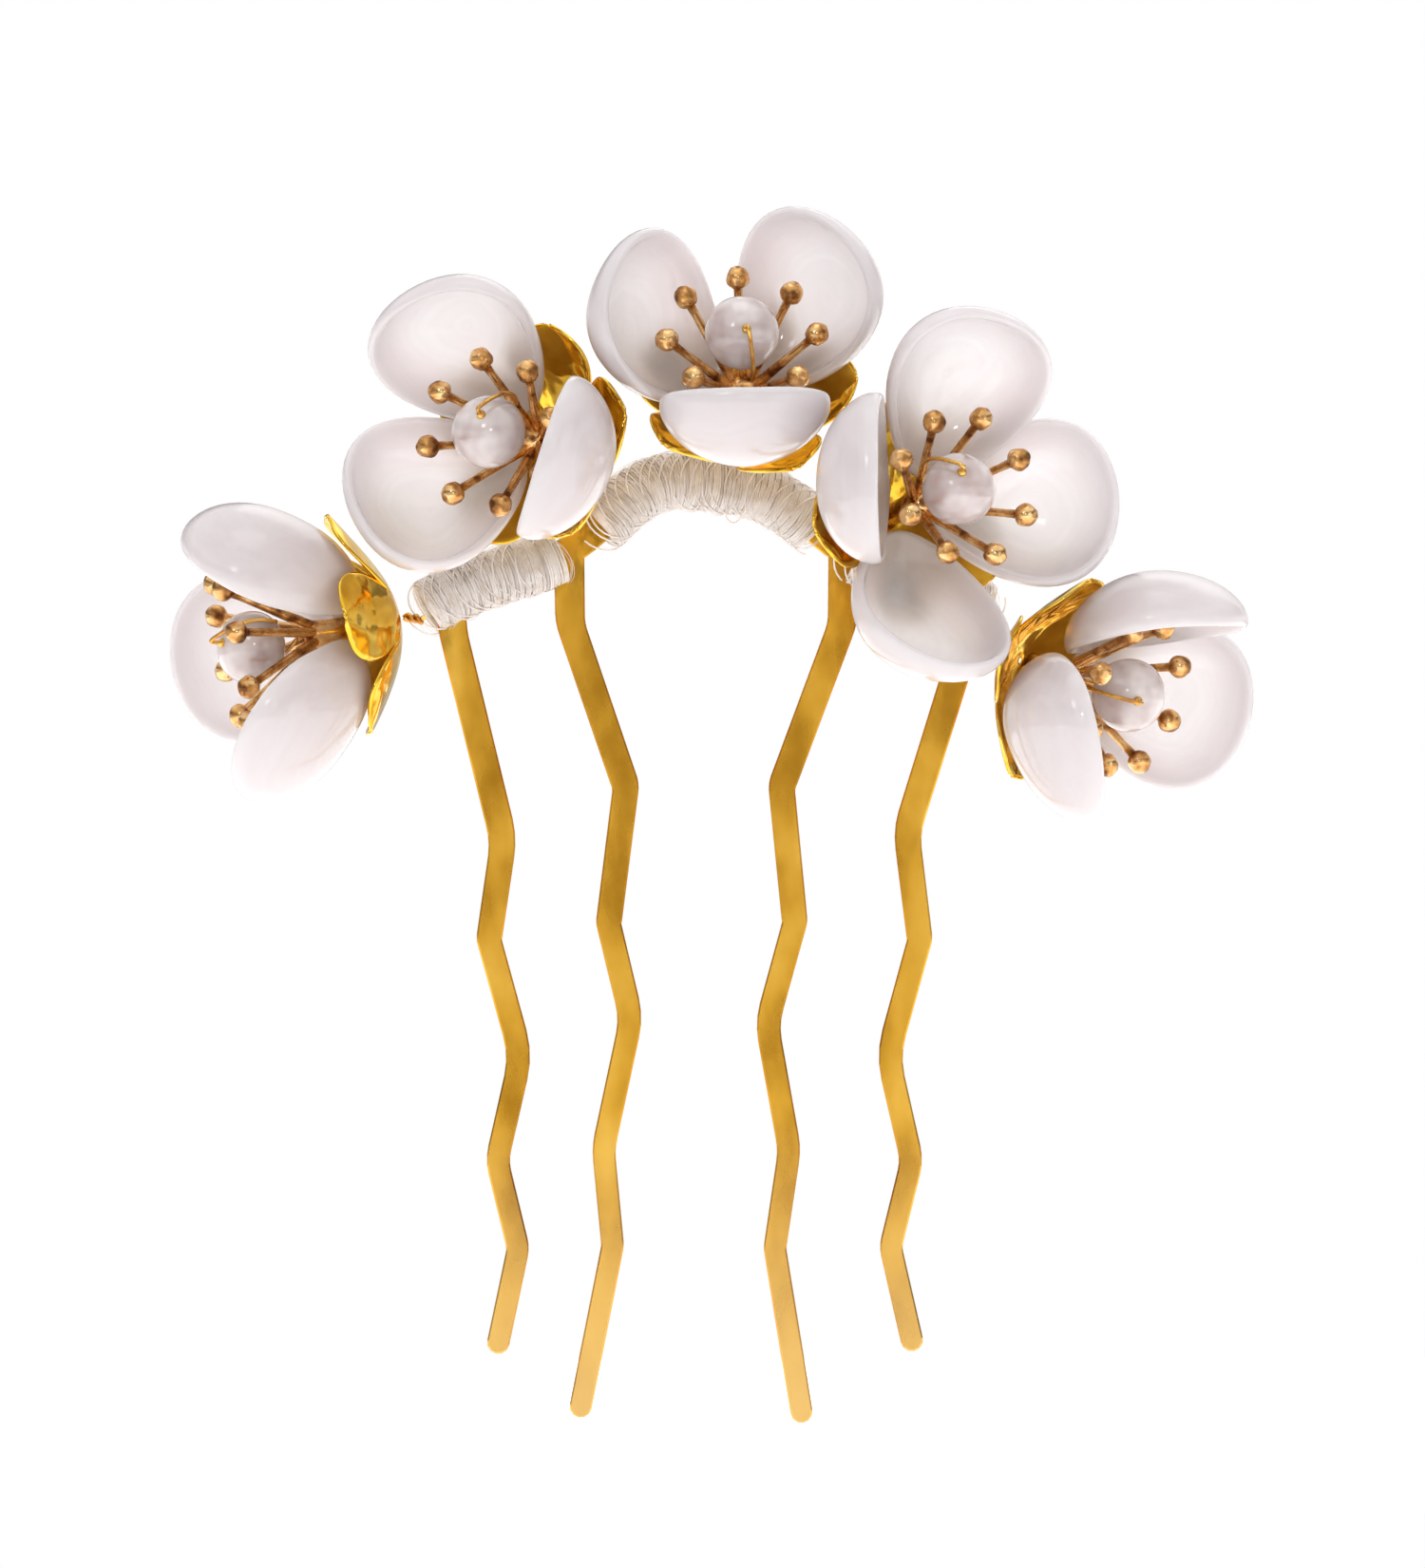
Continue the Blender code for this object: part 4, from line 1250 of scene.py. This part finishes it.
@dataclass
class PetalBowl:
    """One petal: an egg-shaped bowl of even thickness with a rounded rim."""

    length: float = 13.9 * MM
    width: float = 11.7 * MM
    depth: float = 4.6 * MM
    sheet: float = 0.9 * MM
    egg: float = 0.3
    rim_angle: float = math.radians(18)
    start_radius: float = 1.8 * MM
    usual_rise: float = 3.5
    segments: int = 56
    rings: int = 16
    rim_steps: int = 8
    warp: float = 0.22 * MM
    warp_size: float = 6 * MM
    layer_name: str = "petal_map"

    def middle(self, slope: float, turn: float) -> Vector:
        """Read the middle of the sheet.

        Args:
            slope: From 0 at the bottom to a right angle at the rim.
            turn: The angle round the bowl, from its tip.

        Returns:
            The place there.
        """
        share = math.sin(slope)
        x = self.length / 2 * (1 + share * math.cos(turn))
        y = self.width / 2 * share * math.sin(turn) * (1 + self.egg * math.cos(turn))
        return Vector((x, y, -self.depth * math.cos(slope)))

    def outward(self, slope: float, turn: float) -> Vector:
        """Read the direction square to the sheet, towards the bowl's outer side.

        Args:
            slope: From 0 at the bottom to a right angle at the rim.
            turn: The angle round the bowl, from its tip.

        Returns:
            The direction there, of length one.
        """
        step = 0.004
        slope = max(slope, step)
        ahead = self.middle(slope + step, turn) - self.middle(slope - step, turn)
        around = self.middle(slope, turn + step) - self.middle(slope, turn - step)
        return around.cross(ahead).normalized()

    def slopes(self) -> list[tuple[float, float]]:
        """List the rows from the bottom to the rim.

        Returns:
            Each row's slope and half thickness.
        """
        rim_start = math.pi / 2 - self.rim_angle
        rows = []
        for k in range(1, self.rings + 1):
            rows.append((rim_start * k / self.rings, self.sheet / 2))
        for k in range(1, self.rim_steps):
            turn = math.pi / 2 * k / self.rim_steps
            half = self.sheet / 2 * math.cos(turn) ** 0.8
            rows.append((rim_start + self.rim_angle * math.sin(turn), half))
        return rows

    def mesh(self, seed: int) -> bpy.types.Mesh:
        """Grind one petal.

        Args:
            seed: What makes this petal's slight warp its own.

        Returns:
            The petal's mesh, its foot at the origin and its hollow up, with its own map.
        """
        work = bmesh.new()
        chart = work.loops.layers.uv.new(self.layer_name)
        marks = {}

        def point(slope: float, turn: float, off: float) -> bmesh.types.BMVert:
            """Add one point of the bowl, off the middle of its sheet, and mark it on the map."""
            place = self.middle(slope, turn) + self.outward(slope, turn) * off
            spot = Vector((place.x, place.y, 9.0 * seed * MM)) / self.warp_size
            place.z += self.warp * math.sin(slope) * noise.noise(spot)
            made = work.verts.new(place)
            share = math.sin(slope)
            marks[made] = (place.x / self.length, share if off >= 0 else 2 - share)
            return made

        turns = [2 * math.pi * k / self.segments for k in range(self.segments)]
        rim = [point(math.pi / 2, turn, 0.0) for turn in turns]
        for side in (1, -1):
            bottom = work.verts.new((self.length / 2, 0, -self.depth - side * self.sheet / 2))
            marks[bottom] = (0.5, 1.0 - side)
            rows = [
                [point(slope, turn, side * half) for turn in turns] for slope, half in self.slopes()
            ]
            rows.append(rim)
            for k in range(self.segments):
                beside = (k + 1) % self.segments
                work.faces.new((bottom, rows[0][k], rows[0][beside]))
                for inner, outer in zip(rows, rows[1:]):
                    work.faces.new((inner[k], outer[k], outer[beside], inner[beside]))
        for face in work.faces:
            for loop in face.loops:
                loop[chart].uv = marks[loop.vert]
        return mesh_of(work, "petal")

    def place(self, azimuth: float, elevation: float, rise: float) -> Matrix:
        """Return the matrix that sets a petal in its flower.

        Args:
            azimuth: Degrees round the flower's axis.
            elevation: Degrees that the petal stands above the flower's plane.
            rise: Its foot's height in millimetres.

        Returns:
            The matrix, on the flower's axes.
        """
        around = Matrix.Rotation(math.radians(azimuth), 4, "Z")
        start = Matrix.Translation((self.start_radius, 0, rise * MM))
        return around @ start @ Matrix.Rotation(-math.radians(elevation), 4, "Y")


@dataclass
class StamenRing:
    """The cast middle of a flower: a hub with eight leaning arms that end in balls."""

    arms: int = 8
    lean: float = math.radians(37)
    lean_spread: float = math.radians(1.6)
    length: float = 8.5 * MM
    foot_radius: float = 0.45 * MM
    foot_distance: float = 0.4 * MM
    neck_radius: float = 0.3 * MM
    ball_radius: float = 0.88 * MM
    dimple: float = 0.16 * MM
    pit_size: float = 0.55 * MM
    pit_share: float = 0.1
    hub_radius: float = 1.15 * MM
    hub_bottom: float = 1.0 * MM
    hub_top: float = 4.6 * MM
    hub_sides: int = 24
    foot_sink: float = 0.9 * MM
    sides: int = 16

    def arm(self) -> bpy.types.Mesh:
        """Turn one arm with its ball, dimpled by the casting.

        Returns:
            The arm's mesh, standing on the origin.
        """
        profile = [(0.0, 0.0), (self.foot_radius, 0.0)]
        neck_height = self.length - 0.94 * self.ball_radius
        for k in range(1, 8):
            share = k / 8
            taper = math.sin(share * math.pi / 2)
            radius = self.foot_radius + (self.neck_radius - self.foot_radius) * taper
            profile.append((radius, neck_height * share))
        profile.append((self.neck_radius * 1.15, neck_height))
        for k in range(9):
            angle = math.radians(-62 + 152 * k / 9)
            height = self.length + self.ball_radius * math.sin(angle)
            profile.append((self.ball_radius * math.cos(angle), height))
        profile.append((0.0, self.length + self.ball_radius - self.dimple))
        mesh = turned_mesh("arm", profile, self.sides)
        for vertex in mesh.vertices:
            if vertex.co.z > neck_height:
                depth = noise.noise(vertex.co / self.pit_size)
                middle = Vector((0, 0, self.length))
                vertex.co = middle + (vertex.co - middle) * (1 + self.pit_share * depth)
        return mesh

    def mesh(self, ring: RingTree, lift: float, seed: int) -> bpy.types.Mesh:
        """Cast the hub with its arms.

        Args:
            ring: The tree that repeats a shape round Z.
            lift: How far the hub's top stands above its usual height.
            seed: What makes this casting's arms its own.

        Returns:
            The casting's mesh, on the flower's axes.
        """
        top = self.hub_top + lift
        hub = turned_mesh("hub", [
            (0.0, top + 0.3 * MM), (0.35 * self.hub_radius, top + 0.27 * MM),
            (0.7 * self.hub_radius, top + 0.1 * MM), (0.95 * self.hub_radius, top - 0.25 * MM),
            (self.hub_radius, top - 0.6 * MM), (0.85 * self.hub_radius, top - 1.6 * MM),
            (0.75 * self.hub_radius, self.hub_bottom), (0.0, self.hub_bottom),
        ], self.hub_sides)
        arms = ring.run(
            new_mesh_object("arm", self.arm()), Count=self.arms, Foot_distance=self.foot_distance,
            Foot_height=top - self.foot_sink, Lean=self.lean, Lean_spread=self.lean_spread, Seed=seed,
        )
        work = bmesh.new()
        work.from_mesh(hub)
        work.from_mesh(arms)
        return mesh_of(work, "stamens")


@dataclass
class DrilledPearl:
    """A slightly flattened pearl with shallow rings round its drilled hole."""

    radius: float = 2.8 * MM
    half_height: float = 2.55 * MM
    hole_radius: float = 0.2 * MM
    ring_depth: float = 0.035 * MM
    rings: int = 9
    unevenness: float = 0.022
    unevenness_size: float = 3.2 * MM
    steps: int = 40
    sides: int = 56

    def mesh(self, seed: int) -> bpy.types.Mesh:
        """Grow one pearl.

        Args:
            seed: What makes this pearl's unevenness its own.

        Returns:
            The pearl's mesh, its hole along Z.
        """
        start = math.acos(self.hole_radius / self.radius)
        profile = []
        for k in range(self.steps + 1):
            angle = start - 2 * start * k / self.steps
            groove = self.ring_depth * math.sin(self.rings * angle) * abs(math.sin(angle)) ** 2
            radius = (self.radius - groove) * math.cos(angle)
            profile.append((radius, self.half_height * math.sin(angle)))
        mesh = turned_mesh("pearl", profile, self.sides, closed=True)
        for vertex in mesh.vertices:
            spot = vertex.co / self.unevenness_size + Vector((7.0 * seed, 0, 0))
            if vertex.co.xy.length > 1.5 * self.hole_radius:
                vertex.co *= 1 + self.unevenness * (noise.noise(spot) - 0.35)
        return mesh


@dataclass
class PearlWire:
    """The wire that holds a pearl: up from the hub, through the pearl and back beside it."""

    radius: float = 0.16 * MM
    knot_radius: float = 0.36 * MM
    pearl_radius: float = 2.8 * MM
    pearl_half_height: float = 2.55 * MM
    clearance: float = 0.5 * MM
    straight: float = 0.5 * MM
    overrun: float = 0.2 * MM
    foot_height: float = 5.42 * MM
    bends: int = 4
    end_angle: float = math.radians(128)

    def mesh(self, pearl: Vector, drill: Vector, lift: float) -> bpy.types.Mesh:
        """Bend the wire.

        Args:
            pearl: The pearl's middle, on the flower's axes.
            drill: The direction of its hole there.
            lift: How far the hub's top stands above its usual height.

        Returns:
            The wire's mesh.
        """
        upward = Vector((0, 0, 1))
        outward = (drill - upward * drill.z).normalized()
        clear = self.pearl_radius + self.clearance
        route = [
            upward * (self.foot_height + lift),
            pearl - drill * (self.pearl_half_height + self.straight),
            pearl - drill * self.pearl_half_height,
            pearl,
            pearl + drill * self.pearl_half_height,
            pearl + drill * (clear + self.overrun),
        ]
        lean = math.acos(drill.z)
        for k in range(1, self.bends + 1):
            turn = lean + (self.end_angle - lean) * k / self.bends
            route.append(pearl + (outward * math.sin(turn) + upward * math.cos(turn)) * clear)
        work = bmesh.new()
        work.from_mesh(tube_mesh("pearl_wire", smooth_path(route, 6), self.radius))
        knot = Matrix.Translation(pearl + drill * self.pearl_half_height)
        bmesh.ops.create_uvsphere(work, u_segments=16, v_segments=8, radius=self.knot_radius, matrix=knot)
        return mesh_of(work, "pearl_wire")


@dataclass
class TwistedStem:
    """The stem of a flower: two wires twisted together, from the cap to the winding."""

    strand_radius: float = 0.19 * MM
    twist_pitch: float = 1.25 * MM
    pull: float = 0.35
    cap_clearance: float = 0.45 * MM
    steps: int = 24

    def mesh(
        self, coil: CoilTree, frame: Matrix, root: Vector, material: bpy.types.Material
    ) -> bpy.types.Mesh:
        """Twist the two wires.

        Args:
            coil: The tree that winds a strand round a line.
            frame: The flower's axes.
            root: Where the stem ends, just off the winding.
            material: The wire's finish.

        Returns:
            The stem's mesh, in the pin's own place.
        """
        back = frame.to_3x3() @ Vector((0, 0, -1))
        start = frame.translation + back * self.cap_clearance
        bend = start + back * self.pull * (root - start).length
        line = []
        for k in range(self.steps + 1):
            t = k / self.steps
            line.append((1 - t) ** 2 * start + 2 * t * (1 - t) * bend + t ** 2 * root)
        work = bmesh.new()
        for phase in (0.0, math.pi):
            work.from_mesh(coil.run(
                line_object("stem_line", line), Turns=path_length(line) / self.twist_pitch,
                Points_a_turn=18, Coil_radius=self.strand_radius, Strand_radius=self.strand_radius,
                Strand_sides=10, Phase=phase, Material=material,
            ))
        return mesh_of(work, "stem")


@dataclass
class Blossom:
    """One flower: places in millimetres and angles in degrees, as the CAD part has them."""

    number: int
    base: tuple[float, float, float]
    heading: float
    tilt: float
    lobe_rises: tuple[float, ...]
    petals: tuple[tuple[float, ...], ...]
    lobe_turn: float
    stamen_turn: float
    stamen_lift: float = 0.0

    def frame(self) -> Matrix:
        """Work out the flower's own axes.

        Returns:
            The matrix whose Z runs along the flower's middle and whose X is at azimuth 0.
        """
        heading = math.radians(self.heading)
        tilt = math.radians(self.tilt)
        axis = Vector((
            math.sin(tilt) * math.cos(heading), -math.cos(tilt), math.sin(tilt) * math.sin(heading),
        ))
        facing = Matrix.Rotation(math.radians(90), 4, "X")
        lean = Vector((0, -1, 0)).rotation_difference(axis).to_matrix().to_4x4()
        return Matrix.Translation(Vector(self.base) * MM) @ lean @ facing

    def joint(self, frame: dict, name: str) -> tuple[Vector, Vector]:
        """Find one of this flower's joints.

        Args:
            name: The joint's name, without the flower's number.

        Returns:
            The joint's place and its axis.
        """
        wanted = f"{name}_{self.number}"
        found = next(joint for joint in frame["joints"] if joint["name"] == wanted)
        return Vector(found["pos_m"]), Vector(found["axis"]).normalized()

    def build(self, frame: dict, trees: tuple[CoilTree, RingTree], dress: dict) -> None:
        """Build and dress the flower's pieces.

        Args:
            trees: The coil tree and the ring tree.
            dress: Each slot's material.
        """
        coil, ring = trees
        number = self.number
        axes = self.frame()
        cap = Sepals().mesh([rise * MM for rise in self.lobe_rises])
        cap.transform(axes @ Matrix.Rotation(math.radians(self.lobe_turn), 4, "Z"))
        self.keep(cap, "sepals", "calyx", Slot.GOLD_CAP, dress)
        bowl = PetalBowl()
        for k, (azimuth, elevation, *rise) in enumerate(self.petals, 1):
            mesh = bowl.mesh(10 * number + k)
            mesh.transform(axes @ bowl.place(azimuth, elevation, *(rise or [bowl.usual_rise])))
            self.keep(mesh, "petal_bowl", "petal", Slot.MILKY_PETAL, dress, tail=f"_{k}")
        middle = StamenRing().mesh(ring, self.stamen_lift * MM, number)
        middle.transform(axes @ Matrix.Rotation(math.radians(self.stamen_turn), 4, "Z"))
        self.keep(middle, "stamen_ring", "stamens", Slot.ANTIQUE_GOLD, dress)
        self.build_pearl(frame, axes, dress)
        root, _ = self.joint(frame, "stem_bend")
        stem = TwistedStem().mesh(coil, axes, root, dress[Slot.GOLD_WIRE])
        self.keep(stem, "twisted_stem", "stem", Slot.GOLD_WIRE, dress)

    def keep(
        self, mesh: bpy.types.Mesh, name: str, node: str, slot: Slot, dress: dict,
        body: str = "blossom", tail: str = "",
    ) -> None:
        """Finish one of the flower's pieces.

        Args:
            mesh: Mesh data already in place.
            name: The piece's name, without the flower's number.
            node: The name of the CAD node that it stands for, without the number.
            slot: Its finish's slot.
            dress: Each slot's material.
            body: The body that it rides, without the number.
            tail: What follows the number in both names.
        """
        ending = f"_{self.number}{tail}"
        finish_piece(
            name + ending, [mesh], dress[slot], f"{body}_{self.number}", [node + ending],
        )

    def build_pearl(self, frame: dict, axes: Matrix, dress: dict) -> None:
        """Build the pearl where its joint is, and the wire through it.

        Args:
            axes: The flower's axes.
            dress: Each slot's material.
        """
        centre, drill = self.joint(frame, "pearl_spin")
        pearl = DrilledPearl().mesh(self.number)
        turn = Vector((0, 0, 1)).rotation_difference(drill).to_matrix().to_4x4()
        pearl.transform(Matrix.Translation(centre) @ turn)
        self.keep(pearl, "pearl_bead", "pearl", Slot.PEARL, dress, body="bead")
        inward = axes.inverted()
        wire = PearlWire().mesh(inward @ centre, inward.to_3x3() @ drill, self.stamen_lift * MM)
        wire.transform(axes)
        self.keep(wire, "pearl_loop", "pearl_wire", Slot.GOLD_WIRE, dress)


def blossoms() -> list[Blossom]:
    """List the five flowers.

    Returns:
        The flowers, from left to right.
    """
    return [
        Blossom(
            1, (-22.9, -2.6, -0.8), 191, 82, (4.6, 3.6, 4.6, 4.8, 3.8),
            ((76, 60, 3.4), (-46, 52, 4.3), (196, 62, 4.1)),
            lobe_turn=18, stamen_turn=25, stamen_lift=2.4,
        ),
        Blossom(
            2, (-10.6, -3.4, 12.4), 172, 31, (4.2, 3.8, 3.8, 2.4, 4.4),
            ((117, 52, 4.3), (213, 47, 3.4), (340, 64)),
            lobe_turn=12, stamen_turn=10,
        ),
        Blossom(
            3, (2.9, -4.6, 13.9), 90, 38, (3.6, 3.8, 3.4, 4.4, 3.8),
            ((44, 57), (158, 55), (272, 60)),
            lobe_turn=10, stamen_turn=3,
        ),
        Blossom(
            4, (13.8, -9.0, 6.9), 20, 32, (1.8, 4.2, 3.4, 0.8, 0.8),
            ((79.2, 39.2, 5.4), (0.1, 35.5, 3.3), (264.4, 34.3, 3.0), (175.9, 56.2)),
            lobe_turn=50, stamen_turn=-19, stamen_lift=1.0,
        ),
        Blossom(
            5, (23.8, -2.0, -3.9), -18, 57, (3.4, 5.0, 3.6, 3.6, 3.6),
            ((81.4, 66, 4.7), (200, 56), (345.5, 56.4, 3.3)),
            lobe_turn=20, stamen_turn=18, stamen_lift=0.4,
        ),
    ]


# ------------------------------------------------------------------ studio


@dataclass
class Softbox:
    """One soft lamp: where it stands, its side and its power."""

    name: str
    place: tuple[float, float, float]
    side: float
    watts: float


@dataclass
class Studio:
    """A white table, soft lamps and a long lens looking straight at the comb."""

    distance: float = 3.0
    frame_height: float = 117.9 * MM
    sensor: float = 36.0
    aim: Vector = field(default_factory=lambda: Vector((0.71 * MM, 0.0, -13.2 * MM)))
    glow: str = "#F4F1F2"
    front_glow: float = 0.86
    back_glow: float = 2.0
    table_side: float = 0.7
    table_drop: float = 0.3 * MM
    lamps: tuple[Softbox, ...] = (
        Softbox("key", (-0.3, -0.75, 0.4), 0.16, 0.45),
        Softbox("fill", (0.6, -0.6, 0.1), 0.4, 0.4),
        Softbox("top", (0.0, -0.05, 0.7), 0.4, 0.45),
        Softbox("back", (0.2, 0.6, 0.35), 0.5, 0.5),
        Softbox("spark", (0.05, -0.85, 0.2), 0.03, 0.3),
    )

    def build(self, box: tuple[Vector, Vector]) -> None:
        """Set up the table, the lamps, the surroundings and the camera.

        Args:
            box: The pin's lowest and highest corners.
        """
        low, high = Vector(box[0]), Vector(box[1])
        middle = (low + high) / 2
        self.table(low.z - self.table_drop)
        for lamp in self.lamps:
            self.hang(lamp, middle)
        self.surroundings()
        self.camera()

    def table(self, height: float) -> None:
        """Lay the white table.

        Args:
            height: Its height, just under the teeth.
        """
        half = self.table_side / 2
        mesh = bpy.data.meshes.new("table")
        mesh.from_pydata(
            [(-half, -half, height), (half, -half, height), (half, half, height), (-half, half, height)],
            [], [(0, 1, 2, 3)],
        )
        mesh.materials.append(StageFinish("matt_white_table", Slot.THREAD).material())
        new_mesh_object("table", mesh)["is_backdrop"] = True

    def hang(self, lamp: Softbox, aim: Vector) -> None:
        """Hang a square softbox.

        Args:
            lamp: The lamp.
            aim: What it is turned to.
        """
        data = bpy.data.lights.new(lamp.name, "AREA")
        data.shape = "SQUARE"
        data.size = lamp.side
        data.energy = lamp.watts
        made = bpy.data.objects.new(lamp.name, data)
        made.location = lamp.place
        made.rotation_euler = (aim - Vector(lamp.place)).to_track_quat("-Z", "Y").to_euler()
        bpy.context.scene.collection.objects.link(made)

    def surroundings(self) -> None:
        """Make the room: white behind the pin, an even glow on it, dark cards in what it mirrors."""
        world = bpy.data.worlds.new("studio")
        bpy.context.scene.world = world
        world.use_nodes = True
        tree = world.node_tree
        direct = add_node(tree, "ShaderNodeTexCoord").outputs["Generated"]
        axes = add_node(tree, "ShaderNodeSeparateXYZ", {}, {"Vector": direct}).outputs
        height = Finish.level(tree, axes[2], (-0.4, 0.9))
        mirrored = Finish.ramp(tree, height, (
            (0.0, "#E4E0DC"), (0.12, "#3A342E"), (0.22, "#B4AFAA"), (0.36, "#F0ECE8"),
            (0.48, "#4A4440"), (0.6, "#8A8480"), (0.74, "#FFFFFF"),
        ))
        rays = add_node(tree, "ShaderNodeLightPath").outputs
        room = Finish.mixed(tree, rays["Is Glossy Ray"], self.glow, mirrored)
        colour = Finish.mixed(tree, rays["Is Camera Ray"], room, "#FFFFFF")
        tree.links.new(colour, tree.nodes["Background"].inputs["Color"])
        plain = add_node(tree, "ShaderNodeMath", {"operation": "ADD", "use_clamp": True}, {
            0: rays["Is Camera Ray"], 1: rays["Is Glossy Ray"],
        })
        behind = Finish.level(tree, axes[1], (-0.3, 0.8), (self.front_glow, self.back_glow))
        strength = add_node(tree, "ShaderNodeMix", {"data_type": "FLOAT", 3: 1.0}, {
            0: plain.outputs[0], 2: behind,
        })
        tree.links.new(strength.outputs[0], tree.nodes["Background"].inputs["Strength"])

    def camera(self) -> None:
        """Stand the camera square in front of the comb."""
        data = bpy.data.cameras.new("front")
        data.sensor_fit = "VERTICAL"
        data.sensor_height = self.sensor
        data.lens = self.sensor * self.distance / self.frame_height
        made = bpy.data.objects.new("front", data)
        made.location = self.aim + Vector((0, -self.distance, 0))
        made.rotation_euler = (math.radians(90), 0, 0)
        bpy.context.scene.collection.objects.link(made)
        bpy.context.scene.camera = made


def main() -> None:
    """Dress the whole pin and set up its studio."""
    logging.basicConfig(level=logging.INFO, format="%(name)s: %(message)s")
    bpy.context.scene.view_settings.view_transform = "Standard"
    for old in list(bpy.data.objects):
        bpy.data.objects.remove(old)
    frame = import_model()
    cad_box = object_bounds()
    finishes = (
        StampedGoldPlate("stamped_gold_plate", Slot.GOLD_PLATE),
        PolishedGoldCap("polished_gold_cap", Slot.GOLD_CAP),
        AntiqueGoldCasting("antique_gold_casting", Slot.ANTIQUE_GOLD),
        DrawnGoldWire("drawn_gold_wire", Slot.GOLD_WIRE),
        MilkyShellPetal("milky_shell_petal", Slot.MILKY_PETAL),
        FreshwaterPearl("freshwater_pearl", Slot.PEARL),
        SpunThread("spun_silk_floss", Slot.THREAD),
    )
    dress = {finish.slot: finish.material() for finish in finishes}
    trees = (coil_tree(), ring_tree())
    Comb().dress(frame, finishes[0])
    ThreadWinding().build(trees[0], dress[Slot.THREAD])
    for blossom in blossoms():
        blossom.build(frame, trees, dress)
    Studio().build(cad_box)


if __name__ == "__main__":
    main()
